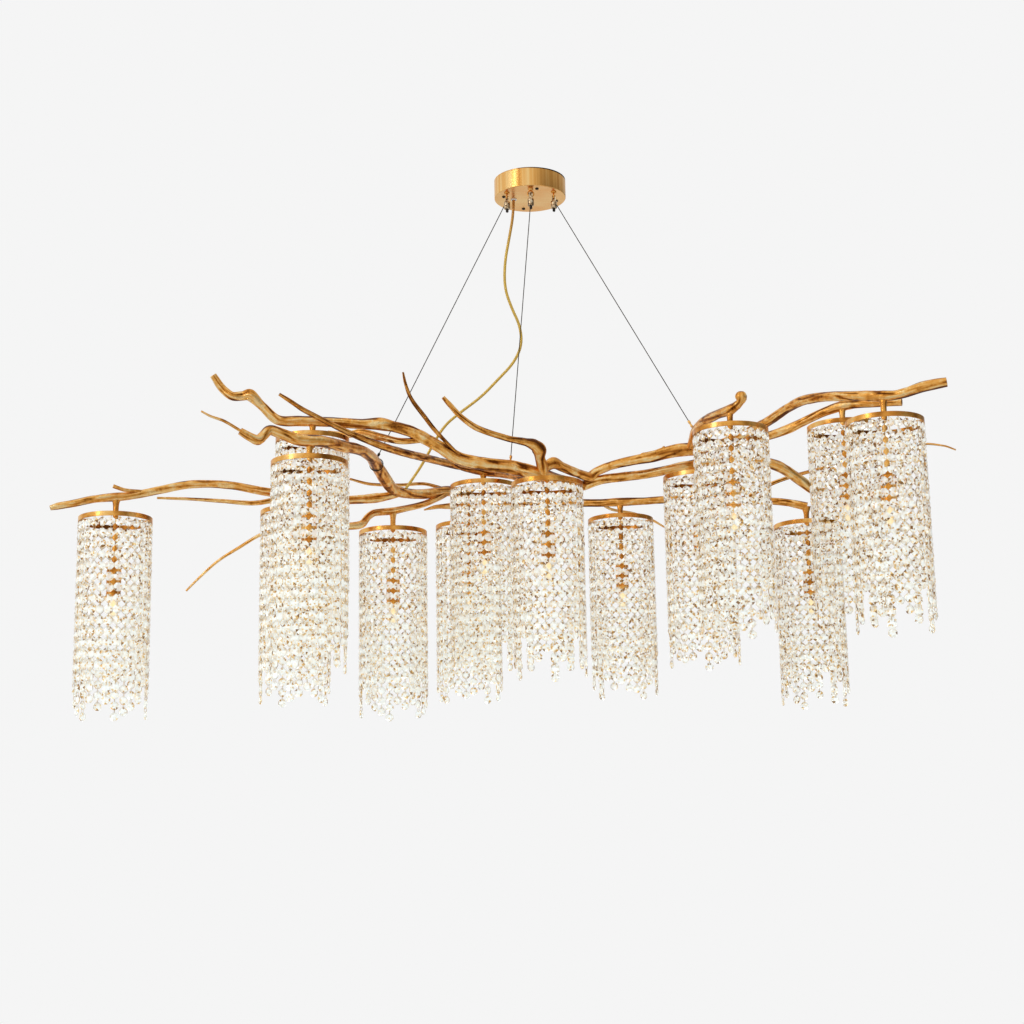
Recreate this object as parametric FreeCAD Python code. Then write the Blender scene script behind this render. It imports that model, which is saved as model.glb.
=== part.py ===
import FreeCAD, Part
import math
import os

# Branch chandelier with fourteen bead shades, hung from a round canopy by three steel wires.
# Millimetres, +Z up, +X to the right, +Y to the back. The origin is the middle of the
# canopy's ceiling face, so everything hangs below it.

Vector = FreeCAD.Vector
UP = Vector(0, 0, 1)
ALONG_X = Vector(1, 0, 0)
ALONG_Y = Vector(0, 1, 0)

# Overall frame
FRAME_LENGTH = 1480.0
FRAME_DROP = 556.0
FRAME_SETBACK = 40.0
BRANCH_DIAMETER = 19.5
TWIG_DIAMETER = 15.0
BRANCH_SIDES = 6

# Canopy
CANOPY_DIAMETER = 126.0
CANOPY_HEIGHT = 34.0
CANOPY_WALL = 1.5
CANOPY_EDGE_RADIUS = 1.2
CANOPY_SCREW_CIRCLE = 96.0
CANOPY_SCREW_ANGLE = 14.0
CANOPY_SCREW_COUNT = 4
SCREW_DIAMETER = 3.0
SCREW_HEAD_DIAMETER = 6.5
SCREW_HEAD_HEIGHT = 2.0
SCREW_GRIP = 9.0

# Ceiling bracket inside the canopy
BRACKET_THICKNESS = 2.5
BRACKET_POST_DIAMETER = 8.0
BRACKET_RIM = 6.0
BRACKET_SLOT_SPACING = 60.0
BRACKET_SLOT_WIDTH = 5.0
BRACKET_SLOT_LENGTH = 12.0
BRACKET_CABLE_HOLE = 22.0
BRACKET_SIDES = 24
TERMINAL_LENGTH = 34.0
TERMINAL_WIDTH = 14.0
TERMINAL_HEIGHT = 13.0
TERMINAL_WAYS = 3
TERMINAL_WIRE_HOLE = 4.0
TERMINAL_Y = -21.0

# Suspension points under the canopy
EYE_SPREAD = 41.0
EYE_LINE_Y = -30.0
EYE_CENTRE_X = 0.5
EYE_CENTRE_Y = -44.0
EYE_BOSS_DIAMETER = 10.0
EYE_BOSS_HEIGHT = 3.0
EYE_DIAMETER = 13.0
EYE_HOLE_DIAMETER = 6.4
EYE_THICKNESS = 2.0
EYE_STUD_DIAMETER = 4.0
EYE_NUT_ACROSS = 8.0
EYE_NUT_HEIGHT = 3.2
PIN_DIAMETER = 3.0
PIN_CLEARANCE = 0.1
CHEEK_THICKNESS = 1.6
CHEEK_WIDTH = 7.0
CHEEK_GAP = 0.6
GRIPPER_DIAMETER = 11.0
GRIPPER_LENGTH = 14.0
GRIPPER_CHAMFER = 1.5
NOSE_DIAMETER = 5.0
NOSE_OUT = 6.0
NOSE_IN = 5.0
NOSE_TRAVEL = 2.0
NOSE_END_ROOM = 0.4
NOSE_CLEARANCE = 0.1
WIRE_DIAMETER = 1.6
WIRE_SIDES = 6
WIRE_EDGE = 1.6
WIRE_EXIT_DROP = 5.5
FERRULE_DIAMETER = 4.5
FERRULE_LENGTH = 20.0

# Power cord and its grommet
CORD_DIAMETER = 5.0
CORD_SIDES = 6
GROMMET_X = -29.0
GROMMET_Y = 1.0
GROMMET_DIAMETER = 11.0
GROMMET_LIP = 2.0
GROMMET_BORE = 6.6

# Shades
RING_DIAMETER = 120.0
BAND_HEIGHT = 8.0
BAND_THICKNESS = 1.6
STRANDS_PER_SHADE = 26
BEAD_PITCH = 18.0
STRAND_SPACE = 5.8
STRAND_THICKNESS = 4.0
SHORTEST_STRAND_BEADS = 14
CROSSBAR_WIDTH = 8.0
CROSSBAR_THICKNESS = 2.0
HUB_DIAMETER = 18.0
SHADES_DEEP = 5
SHADE_SPACE = 25.0

# Lamps
STEM_TOP_DIAMETER = 15.0
STEM_WAIST_DIAMETER = 9.5
STEM_FOOT_DIAMETER = 15.0
TUBE_DIAMETER = 9.0
TUBE_LENGTH = 74.0
TUBE_FIT = 0.1
HOLDER_DIAMETER = 24.0
HOLDER_CAP_DIAMETER = 15.0
HOLDER_CAP_HEIGHT = 7.0
HOLDER_LENGTH = 53.0
SOCKET_DEPTH = 7.0
SOCKET_CLEARANCE = 0.3
BULB_DIAMETER = 15.0
BULB_LENGTH = 40.0
BULB_TIP_SHARE = 0.5
LAMP_SIDES = 6
FITTING_SIDES = 8
SCREW_SIDES = 6
NUT_SIDES = 6

CUT_OVERRUN = 20.0
TURN = 360.0
# Share of the shorter run that each bend of the cord takes up.
CORD_BEND_SHARE = 0.45

# The frame is as deep as a few rings in a row with a space between each two.
FRAME_DEPTH = SHADES_DEEP * RING_DIAMETER + (SHADES_DEEP - 1) * SHADE_SPACE

# The branches were set out on a front view, 1024 squares wide and high, seen from a little
# below: columns count from the left and rows from the top. A place is a column, a row and
# a depth, and these shares of the frame's length say where the eye of that view is.
VIEW_MIDDLE_PIXELS = 512.0
VIEW_FOCAL_PIXELS = 1800.0
VIEW_PITCH = 12.0
VIEW_ROLL = 1.0
EYE_ACROSS_SHARE = -0.0282
EYE_AWAY_SHARE = 2.0027
EYE_LEVEL_SHARE = 0.4615

# Each row of a branch: column, row, depth as a share of the frame's depth, girth share.
UPPER_LEFT_SHARES = (
    (213, 375, -0.23, 0.60), (222, 388, -0.22, 0.70), (232, 396, -0.22, 0.74),
    (242, 396, -0.21, 0.84), (250, 395, -0.21, 1.08), (262, 406, -0.20, 0.80),
    (278, 420, -0.19, 0.86), (300, 421, -0.18, 0.92), (330, 422, -0.165, 0.88),
    (360, 424, -0.15, 0.90), (380, 424, -0.14, 1.12), (395, 427, -0.13, 0.98),
    (412, 432, -0.12, 1.05), (440, 447, -0.105, 1.10), (460, 459, -0.09, 1.15),
    (485, 464, -0.08, 1.20), (515, 468, -0.065, 1.25), (540, 475, -0.055, 1.35),
    (560, 480, -0.01, 1.00), (583, 486, 0.05, 0.95))
LOWER_LEFT_SHARES = (
    (240, 431, -0.43, 0.62), (250, 437, -0.42, 0.72), (258, 440, -0.41, 0.84),
    (263, 436, -0.40, 0.80), (270, 430, -0.39, 0.84), (282, 434, -0.38, 0.92),
    (300, 440, -0.365, 1.00), (320, 441, -0.345, 0.98), (342, 446, -0.26, 1.00),
    (360, 450, -0.17, 0.96), (370, 456, -0.09, 1.00), (378, 467, 0.01, 1.15),
    (386, 480, 0.09, 1.20), (393, 489, 0.15, 1.05), (405, 493, 0.20, 0.95),
    (425, 494, 0.28, 0.95), (448, 491, 0.355, 1.00), (470, 496, 0.41, 0.85),
    (492, 503, 0.425, 0.75))
MIDDLE_LEFT_SHARES = (
    (279, 394, -0.30, 0.27), (290, 401, -0.29, 0.36), (302, 409, -0.27, 0.43),
    (322, 419.6, -0.24, 0.46), (342, 429.6, -0.215, 0.48), (362, 438.4, -0.175, 0.56),
    (385, 447, -0.12, 0.67), (405, 453, -0.05, 0.70), (430, 459, 0.06, 0.72),
    (455, 465, 0.17, 0.76), (484, 472, 0.257, 0.77), (505, 474.5, 0.17, 0.70),
    (522, 477, 0.05, 0.76), (536, 476, -0.045, 0.72))
PALE_TWIG_SHARES = (
    (328, 432, -0.07, 0.38), (345, 435, -0.08, 0.75), (362, 433, -0.09, 1.00),
    (380, 437, -0.10, 0.90), (400, 441, -0.11, 0.75), (424, 440, -0.114, 0.62))
TALL_TWIG_SHARES = (
    (403, 372, -0.23, 0.22), (405, 382, -0.225, 0.34), (409, 394, -0.215, 0.42),
    (414, 403, -0.20, 0.50), (424, 416, -0.175, 0.50), (434, 429, -0.145, 0.48),
    (448, 444, -0.12, 0.42), (464, 460, -0.09, 0.40))
KNEE_BRANCH_SHARES = (
    (443, 397, -0.19, 0.34), (450, 405, -0.185, 0.46), (460, 416, -0.18, 0.50),
    (475, 427, -0.17, 0.55), (490, 433, -0.16, 0.55), (510, 439, -0.14, 0.58),
    (525, 442, -0.12, 0.72), (534, 445, -0.11, 1.05), (539, 450, -0.10, 1.30),
    (540, 458, -0.09, 0.92), (542, 466, -0.075, 0.98), (543, 474, -0.057, 1.05))
FAR_LEFT_SHARES = (
    (50, 508, -0.16, 0.44), (58, 506, -0.155, 0.63), (75, 503, -0.145, 0.65),
    (95, 499, -0.13, 0.70), (115, 497, -0.113, 0.79), (135, 495, -0.10, 0.70),
    (160, 490, -0.08, 0.72), (185, 485, -0.06, 0.74), (210, 484, -0.045, 0.70),
    (235, 486, -0.025, 0.72), (262, 491, 0.0, 0.76), (296, 496, 0.029, 0.84),
    (325, 500, 0.07, 0.79), (350, 500, 0.11, 0.77), (376, 498, 0.15, 0.92),
    (388, 496, 0.165, 0.75), (400, 493, 0.18, 0.70))
FRONT_LOW_SHARES = (
    (340, 526, 0.12, 0.52), (352, 526, 0.13, 0.69), (362, 524, 0.14, 0.71),
    (368, 517, 0.155, 0.67), (374, 513, 0.17, 0.64), (393, 511, 0.214, 0.69),
    (408, 508, 0.24, 0.62), (424, 504, 0.28, 0.60), (438, 498, 0.32, 0.60),
    (449, 492, 0.355, 0.57))
REAR_LONG_SHARES = (
    (424, 510, 0.41, 0.15), (436, 507, 0.42, 0.42), (452, 506, 0.435, 0.60),
    (468, 505, 0.443, 0.72), (492, 504, 0.43, 0.80), (530, 504, 0.42, 0.76),
    (570, 503, 0.41, 0.78), (600, 503, 0.40, 0.76), (620, 502, 0.395, 0.84),
    (645, 501, 0.39, 0.74), (680, 499, 0.38, 0.72), (720, 499, 0.36, 0.74),
    (771, 501, 0.34, 0.72), (790, 503, 0.33, 0.74), (807, 507, 0.324, 0.86))
UPPER_RIGHT_SPINE_SHARES = (
    (545, 468, -0.058, 0.80), (553, 463, -0.05, 1.05), (562, 467, -0.03, 0.85),
    (577, 473, 0.01, 0.82), (590, 477, 0.045, 0.95), (596, 472, 0.045, 0.78),
    (610, 466, 0.04, 0.78), (630, 461, 0.035, 0.86), (652, 457, 0.03, 0.98),
    (665, 453, 0.028, 1.10), (680, 450, 0.028, 1.20), (697, 449, 0.028, 1.20),
    (706, 450, 0.03, 0.90))
LOWER_RIGHT_SHARES = (
    (583, 486, 0.05, 0.88), (600, 480, 0.055, 0.84), (620, 477, 0.055, 0.86),
    (640, 475, 0.06, 0.84), (662, 471, 0.06, 0.84), (685, 466, 0.065, 0.92),
    (712, 462, 0.075, 0.88), (740, 460, 0.085, 0.86), (768, 463, 0.095, 0.96),
    (780, 467, 0.11, 1.00), (790, 473, 0.13, 0.96), (801, 481, 0.155, 1.02),
    (812, 489, 0.18, 0.90), (834, 494, 0.22, 0.60))
BALL_BRANCH_SHARES = (
    (692, 448, 0.025, 0.95), (693, 440, -0.01, 0.80), (695, 432, -0.06, 0.84),
    (700, 425, -0.12, 0.82), (708, 419, -0.18, 0.86), (719, 414, -0.24, 0.80),
    (730, 410, -0.277, 0.90), (736, 406, -0.29, 0.78), (740, 402, -0.30, 0.66),
    (741, 399, -0.302, 0.96), (741, 396, -0.303, 1.02), (741, 393, -0.304, 0.80),
    (741, 391, -0.305, 0.35))
HIGH_RIGHT_SHARES = (
    (699, 449, 0.022, 0.95), (718, 445, -0.01, 0.86), (738, 437, -0.05, 0.84),
    (757, 428, -0.09, 0.90), (772, 419, -0.13, 0.84), (788, 408, -0.18, 0.80),
    (802, 401, -0.23, 0.86), (822, 397, -0.29, 0.82), (850, 396, -0.36, 0.84),
    (884, 396, -0.426, 0.95), (896, 395, -0.435, 0.80), (907, 392, -0.445, 0.84),
    (922, 387, -0.455, 0.90), (936, 384, -0.46, 0.86), (947, 382, -0.465, 0.80))
MIDDLE_RIGHT_SHARES = (
    (694, 450, 0.03, 0.80), (722, 446, 0.045, 0.70), (745, 442, 0.03, 0.72),
    (768, 436, 0.02, 0.78), (786, 430, 0.01, 0.84), (803, 422, -0.01, 0.78),
    (822, 413, -0.035, 0.80), (842, 406, -0.057, 0.90), (858, 404, -0.075, 0.74),
    (880, 403, -0.10, 0.76), (902, 402, -0.12, 0.70))
FORK_TWIG_SHARES = (
    (201, 411, -0.46, 0.20), (210, 416, -0.455, 0.26), (224, 421, -0.445, 0.32),
    (244, 433, -0.43, 0.34))
SPUR_TWIG_SHARES = (
    (350, 479, 0.22, 0.30), (370, 484, 0.26, 0.38), (400, 485, 0.30, 0.42),
    (425, 484, 0.335, 0.42), (447, 490, 0.355, 0.45))
FAR_LEFT_TWIG_SHARES = (
    (113, 486, -0.13, 0.46), (125, 490, -0.12, 0.42), (148, 492, -0.09, 0.42))
NEEDLE_TWIG_SHARES = (
    (157, 498, -0.13, 0.27), (190, 499, -0.10, 0.35), (222, 501, -0.07, 0.46),
    (256, 503, -0.03, 0.59), (290, 496, 0.022, 0.70))
ROOT_TWIG_SHARES = (
    (186, 591, 0.19, 0.24), (200, 577, 0.185, 0.30), (218, 561, 0.18, 0.34),
    (240, 547, 0.175, 0.38), (262, 534, 0.17, 0.40), (300, 524, 0.155, 0.44),
    (350, 526, 0.127, 0.48))
REAR_TWIG_SHARES = (
    (600, 503, 0.40, 0.36), (612, 509.5, 0.44, 0.36), (634, 513.5, 0.47, 0.34),
    (652, 520, 0.48, 0.32), (665, 527.5, 0.48, 0.24))
LONG_NEEDLE_SHARES = (
    (745, 499, 0.352, 0.53), (771, 484, 0.34, 0.51), (797, 475, 0.33, 0.46),
    (840, 464, 0.31, 0.42), (890, 452, 0.28, 0.35), (925, 444, 0.26, 0.29),
    (945, 446, 0.25, 0.24), (956, 450, 0.245, 0.20))

# The castings in their order of fitting, each with the earlier ones that it is brazed to.
BRANCHES = (
    ("branch_upper_left", UPPER_LEFT_SHARES, ()),
    ("branch_rear_long", REAR_LONG_SHARES, ()),
    ("branch_lower_left", LOWER_LEFT_SHARES, ("branch_rear_long",)),
    ("branch_middle_left", MIDDLE_LEFT_SHARES, ("branch_upper_left",)),
    ("branch_knee", KNEE_BRANCH_SHARES, ("branch_upper_left", "branch_middle_left")),
    ("branch_right_spine", UPPER_RIGHT_SPINE_SHARES, ("branch_upper_left", "branch_knee")),
    ("branch_lower_right", LOWER_RIGHT_SHARES, ("branch_upper_left", "branch_right_spine")),
    ("branch_far_left", FAR_LEFT_SHARES, ("branch_lower_left",)),
    ("branch_front_low", FRONT_LOW_SHARES, ("branch_lower_left",)),
    ("branch_ball_tip", BALL_BRANCH_SHARES, ("branch_right_spine",)),
    ("branch_high_right", HIGH_RIGHT_SHARES, ("branch_right_spine", "branch_ball_tip")),
    ("branch_middle_right", MIDDLE_RIGHT_SHARES, ("branch_right_spine", "branch_high_right")),
)
TWIGS = (
    ("pale", PALE_TWIG_SHARES, "branch_upper_left"),
    ("tall", TALL_TWIG_SHARES, "branch_upper_left"),
    ("fork", FORK_TWIG_SHARES, "branch_lower_left"),
    ("spur", SPUR_TWIG_SHARES, "branch_lower_left"),
    ("far_left", FAR_LEFT_TWIG_SHARES, "branch_far_left"),
    ("needle", NEEDLE_TWIG_SHARES, "branch_far_left"),
    ("root", ROOT_TWIG_SHARES, "branch_front_low"),
    ("rear", REAR_TWIG_SHARES, "branch_rear_long"),
    ("long_needle", LONG_NEEDLE_SHARES, "branch_rear_long"),
)

# Each shade: column of its stem, row of its ring's middle, depth share, the casting that
# carries it, and how many places its pattern of strand lengths is turned round.
SHADES = (
    (115.5, 520.5, -0.113, "branch_far_left", 0),
    (312.5, 441.5, -0.172, "branch_upper_left", 5),
    (309.5, 464.5, -0.355, "branch_lower_left", 9),
    (296.0, 514.0, 0.029, "branch_far_left", 13),
    (393.0, 534.0, 0.214, "branch_front_low", 3),
    (468.0, 528.0, 0.443, "branch_rear_long", 17),
    (483.5, 487.7, 0.257, "branch_middle_left", 7),
    (547.0, 485.5, -0.052, "branch_upper_left", 21),
    (620.5, 521.5, 0.395, "branch_rear_long", 11),
    (698.0, 479.0, 0.07, "branch_lower_right", 15),
    (730.5, 432.5, -0.277, "branch_ball_tip", 1),
    (807.0, 527.0, 0.324, "branch_rear_long", 19),
    (843.0, 428.5, -0.057, "branch_middle_right", 23),
    (884.5, 423.5, -0.426, "branch_high_right", 8),
)
# Extra beads on each strand, over the shortest, once round a ring.
EXTRA_BEADS = (2, 4, 1, 3, 0, 3, 2, 4, 1, 2, 3, 0, 4, 2, 3, 1, 4, 0, 3, 2, 1, 4, 2, 3, 0, 3)

# Lower ends of the wires: column, row, depth share and the casting that they hold.
WIRE_FEET_SHARES = {
    "left": (374.2, 463.6, -0.021, "branch_lower_left"),
    "centre": (510.0, 467.0, -0.068, "branch_upper_left"),
    "right": (694.4, 430.6, -0.072, "branch_ball_tip"),
}

# Route of the power cord, from inside the grommet down to the lower left casting.
CORD_ROUTE = (
    (-29, 1, -28), (-30, 1, -62), (-38, 3, -104), (-47, 6, -150), (-48, 9, -196),
    (-36, 14, -232), (-22, 19, -262), (-19, 25, -296), (-34, 34, -326), (-62, 45, -352),
    (-92, 57, -380), (-128, 69, -403), (-158, 80, -424), (-178, 89, -454), (-196, 95, -486),
    (-213, 98, -512), (-232, 100, -538))


def place(column, row, depth_share):
    """Point of the frame behind a square of the front view, at a share of the depth."""
    roll = math.radians(VIEW_ROLL)
    pitch = math.radians(VIEW_PITCH)
    across = column - VIEW_MIDDLE_PIXELS
    up = VIEW_MIDDLE_PIXELS - row
    level = (across * math.cos(roll) + up * math.sin(roll)) / VIEW_FOCAL_PIXELS
    rise = (up * math.cos(roll) - across * math.sin(roll)) / VIEW_FOCAL_PIXELS
    depth = depth_share * FRAME_DEPTH
    reach = (depth + EYE_AWAY_SHARE * FRAME_LENGTH) / (math.cos(pitch) - rise * math.sin(pitch))
    height = reach * (math.sin(pitch) + rise * math.cos(pitch))
    return Vector(EYE_ACROSS_SHARE * FRAME_LENGTH + reach * level,
                  depth - FRAME_SETBACK,
                  height - EYE_LEVEL_SHARE * FRAME_LENGTH - FRAME_DROP)


def closed(points):
    """Closed wire through points."""
    return Part.makePolygon(points + points[:1])


def corners(centre, axis, first, radius, sides):
    """Corners of a regular polygon round an axis, from the first direction on."""
    second = axis.cross(first).normalize()
    angles = [math.radians(TURN * side / sides) for side in range(sides)]
    return [centre + first * (radius * math.cos(angle)) + second * (radius * math.sin(angle))
            for angle in angles]


def polygon(centre, axis, first, radius, sides):
    """Regular polygon wire round an axis, with a corner in the first direction."""
    return closed(corners(centre, axis, first, radius, sides))


def prism(centre, axis, first, radius, sides, height):
    """Straight bar of a regular polygon section."""
    return Part.Face(polygon(centre, axis, first, radius, sides)).extrude(axis * height)


def branch(rows, diameter):
    """Casting lofted through a polygon at each row of a branch table."""
    points = [place(row[0], row[1], row[2]) for row in rows]
    first = None
    sections = []
    for index, point in enumerate(points):
        before = points[max(index - 1, 0)]
        after = points[min(index + 1, len(points) - 1)]
        into = (point - before)
        away = (after - point)
        axis = Vector(0, 0, 0)
        if into.Length > 0:
            axis = axis + into.normalize()
        if away.Length > 0:
            axis = axis + away.normalize()
        axis.normalize()
        if first is None:
            first = UP
        first = (first - axis * first.dot(axis)).normalize()
        radius = rows[index][3] * diameter / 2
        sections.append(polygon(point, axis, first, radius, BRANCH_SIDES))
    return Part.makeLoft(sections, True, True)


def largest(shape):
    """The largest solid of a shape, without what a cut left beyond its seat."""
    return max(shape.Solids, key=lambda solid: solid.Volume)


def turned(profile, middle):
    """Solid turned round a vertical line through a point, from a (radius, height) profile."""
    outline = [middle + Vector(radius, 0, height) for radius, height in profile]
    return Part.Face(closed(outline)).revolve(middle, UP, TURN)


def sided(levels, middle, sides):
    """Upright many-sided solid with flat faces, from (radius, height) levels, top first."""
    rims = [corners(middle + UP * height, UP, ALONG_X, radius, sides) for radius, height in levels]
    faces = [Part.Face(closed(rims[0])), Part.Face(closed(rims[-1]))]
    for upper, lower in zip(rims, rims[1:]):
        for side in range(sides):
            after = (side + 1) % sides
            faces.append(Part.Face(closed([upper[side], upper[after], lower[after], lower[side]])))
    solid = Part.makeSolid(Part.makeShell(faces))
    if solid.Volume < 0:
        solid.reverse()
    return solid


def upright_bar(diameter, low, high, middle, sides):
    """Upright many-sided bar between two heights."""
    foot = Vector(middle.x, middle.y, low)
    return prism(foot, UP, ALONG_X, diameter / 2, sides, high - low)


def bore(diameter, low, high, middle):
    """Vertical round tool between two heights."""
    return Part.makeCylinder(diameter / 2, high - low, Vector(middle.x, middle.y, low), UP)


def ring_middle(shade):
    return place(shade[0], shade[1], shade[2])


def on_circle(middle, radius, angle):
    return middle + Vector(radius * math.cos(math.radians(angle)),
                           radius * math.sin(math.radians(angle)), 0)


def shade_front(middle):
    """Level direction from a shade to the eye of the front view, where it shows a gap."""
    return Vector(EYE_ACROSS_SHARE * FRAME_LENGTH - middle.x,
                  -EYE_AWAY_SHARE * FRAME_LENGTH - FRAME_SETBACK - middle.y, 0).normalize()


def shade_ring(shade):
    """Flat band with a flat crossbar and a hub that the lamp's tube passes through."""
    middle = ring_middle(shade)
    front = shade_front(middle)
    low = middle - UP * (BAND_HEIGHT / 2)
    outside, inside = [prism(low, UP, front, RING_DIAMETER / 2 - inset, STRANDS_PER_SHADE,
                             BAND_HEIGHT) for inset in (0, BAND_THICKNESS)]
    band = outside.cut(inside)
    foot = middle - UP * (CROSSBAR_THICKNESS / 2)
    half = front * (CROSSBAR_WIDTH / 2)
    reach = UP.cross(front) * (RING_DIAMETER / 2)
    outline = [foot - reach - half, foot + reach - half, foot + reach + half, foot - reach + half]
    bar = Part.Face(closed(outline)).extrude(UP * CROSSBAR_THICKNESS)
    hub = prism(foot, UP, ALONG_X, HUB_DIAMETER / 2, LAMP_SIDES, CROSSBAR_THICKNESS)
    hole = upright_bar(TUBE_DIAMETER + 2 * TUBE_FIT, middle.z - BAND_HEIGHT,
                       middle.z + BAND_HEIGHT, middle, LAMP_SIDES)
    return band.fuse(bar.common(inside)).fuse(hub).cut(hole).removeSplitter()


def shade_strands(shade):
    """Bead strands as slender bars, seated under the band, with ragged lower ends."""
    middle = ring_middle(shade)
    # A side of the band lies over each strand, and the strand hangs under its middle.
    side_share = math.cos(math.pi / STRANDS_PER_SHADE)
    radius = (RING_DIAMETER / 2 - BAND_THICKNESS / 2) * side_share
    width = 2 * radius * math.tan(math.pi / STRANDS_PER_SHADE) - STRAND_SPACE
    front = shade_front(middle)
    facing = math.degrees(math.atan2(front.y, front.x))
    bars = []
    for strand in range(STRANDS_PER_SHADE):
        angle = facing + TURN * (strand + 0.5) / STRANDS_PER_SHADE
        extra = EXTRA_BEADS[(strand + shade[4]) % len(EXTRA_BEADS)]
        length = (SHORTEST_STRAND_BEADS + extra) * BEAD_PITCH
        top = middle.z - BAND_HEIGHT / 2
        bar = Part.makeBox(STRAND_THICKNESS, width, length,
                           Vector(radius - STRAND_THICKNESS / 2, -width / 2, 0))
        bar.rotate(Vector(0, 0, 0), UP, angle)
        bar.translate(Vector(middle.x, middle.y, top - length))
        bars.append(bar)
    return Part.makeCompound(bars)


def lamp_stem(shade, castings):
    """Flared stem under a branch, with the tube below it that carries the lamp holder."""
    middle = ring_middle(shade)
    seat = CROSSBAR_THICKNESS / 2
    reach = branch_height(castings[shade[3]], middle) - middle.z
    waist = seat + (reach - seat) / 2
    flare = sided((
        (STEM_TOP_DIAMETER / 2, reach), (STEM_WAIST_DIAMETER / 2, waist),
        (STEM_WAIST_DIAMETER / 2, seat + BAND_HEIGHT / 2), (STEM_FOOT_DIAMETER / 2, seat)),
                  middle, LAMP_SIDES)
    tube = upright_bar(TUBE_DIAMETER, middle.z - TUBE_LENGTH, middle.z + seat, middle, LAMP_SIDES)
    stem = flare.fuse(tube)
    for casting in castings.values():
        if casting.BoundBox.intersect(stem.BoundBox):
            stem = largest(stem.cut(casting))
    return stem


def branch_height(casting, point):
    """Height of a casting's middle straight above a point."""
    probe = Part.makeLine(Vector(point.x, point.y, point.z),
                          Vector(point.x, point.y, point.z + FRAME_DROP))
    inside = casting.common(probe)
    return (inside.BoundBox.ZMin + inside.BoundBox.ZMax) / 2


def lamp_holder(shade):
    """Round lamp holder with a stepped cap and the socket that the bulb's base is pushed into."""
    top = -TUBE_LENGTH
    step = top - HOLDER_CAP_HEIGHT
    end = top - HOLDER_LENGTH
    middle = ring_middle(shade)
    cap = upright_bar(HOLDER_CAP_DIAMETER, middle.z + step, middle.z + top, middle, LAMP_SIDES)
    body = upright_bar(HOLDER_DIAMETER, middle.z + end, middle.z + step, middle, LAMP_SIDES)
    hole = upright_bar(BULB_DIAMETER + 2 * SOCKET_CLEARANCE, middle.z + end,
                       middle.z + end + SOCKET_DEPTH, middle, LAMP_SIDES)
    return cap.fuse(body).cut(hole)


def bulb(shade):
    """Capsule bulb standing base up in its socket."""
    base = -TUBE_LENGTH - HOLDER_LENGTH + SOCKET_DEPTH
    radius = BULB_DIAMETER / 2
    tip = base - BULB_LENGTH
    return sided(((radius, base), (radius, tip + radius), (radius * BULB_TIP_SHARE, tip)),
                 ring_middle(shade), LAMP_SIDES)


def canopy_floor():
    return -CANOPY_HEIGHT


def eye_places():
    """Stud places under the canopy, each with the direction of its eye's hole."""
    return {
        "left": (Vector(-EYE_SPREAD, EYE_LINE_Y, 0), ALONG_X),
        "centre": (Vector(EYE_CENTRE_X, EYE_CENTRE_Y, 0), ALONG_Y),
        "right": (Vector(EYE_SPREAD, EYE_LINE_Y, 0), ALONG_X),
    }


def canopy_screw_places():
    return [on_circle(Vector(0, 0, 0), CANOPY_SCREW_CIRCLE / 2,
                      CANOPY_SCREW_ANGLE + TURN * number / CANOPY_SCREW_COUNT)
            for number in range(CANOPY_SCREW_COUNT)]


def canopy_cup():
    """Spun cup, open at the ceiling, with holes for the studs, the screws and the cord."""
    floor = canopy_floor()
    outer = CANOPY_DIAMETER / 2
    inner = outer - CANOPY_WALL
    edge = CANOPY_EDGE_RADIUS
    profile = (
        (0, floor), (outer - edge, floor), (outer, floor + edge), (outer, 0),
        (inner, 0), (inner, floor + CANOPY_WALL), (0, floor + CANOPY_WALL))
    cup = turned(profile, Vector(0, 0, 0))
    low, high = floor - CUT_OVERRUN, floor + CUT_OVERRUN
    for stud, axis in eye_places().values():
        cup = cup.cut(upright_bar(EYE_STUD_DIAMETER, low, high, stud, FITTING_SIDES))
    for screw in canopy_screw_places():
        cup = cup.cut(upright_bar(SCREW_DIAMETER, low, high, screw, SCREW_SIDES))
    return cup.cut(upright_bar(GROMMET_DIAMETER - GROMMET_LIP, low, high,
                               Vector(GROMMET_X, GROMMET_Y, 0), FITTING_SIDES))


def ceiling_bracket():
    """Round plate screwed to the ceiling, with a post for each canopy screw."""
    radius = CANOPY_SCREW_CIRCLE / 2 + BRACKET_RIM
    plate = upright_bar(2 * radius, -BRACKET_THICKNESS, 0, Vector(0, 0, 0), BRACKET_SIDES)
    low = canopy_floor() + CANOPY_WALL
    for screw in canopy_screw_places():
        plate = plate.fuse(upright_bar(BRACKET_POST_DIAMETER, low, -BRACKET_THICKNESS, screw,
                                       SCREW_SIDES))
    plate = plate.cut(bore(BRACKET_CABLE_HOLE, -CUT_OVERRUN, CUT_OVERRUN, Vector(0, 0, 0)))
    for screw in canopy_screw_places():
        plate = plate.cut(upright_bar(SCREW_DIAMETER, low, low + SCREW_GRIP, screw, SCREW_SIDES))
    for side in (-1, 1):
        middle = Vector(side * BRACKET_SLOT_SPACING / 2, 0, 0)
        straight = BRACKET_SLOT_LENGTH - BRACKET_SLOT_WIDTH
        slot = Part.makeBox(straight, BRACKET_SLOT_WIDTH, CUT_OVERRUN,
                            middle - Vector(straight / 2, BRACKET_SLOT_WIDTH / 2, CUT_OVERRUN / 2))
        for end in (-1, 1):
            centre = middle + ALONG_X * (end * straight / 2)
            slot = slot.fuse(bore(BRACKET_SLOT_WIDTH, -CUT_OVERRUN / 2, CUT_OVERRUN / 2, centre))
        plate = plate.cut(slot)
    return plate.removeSplitter()


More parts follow.
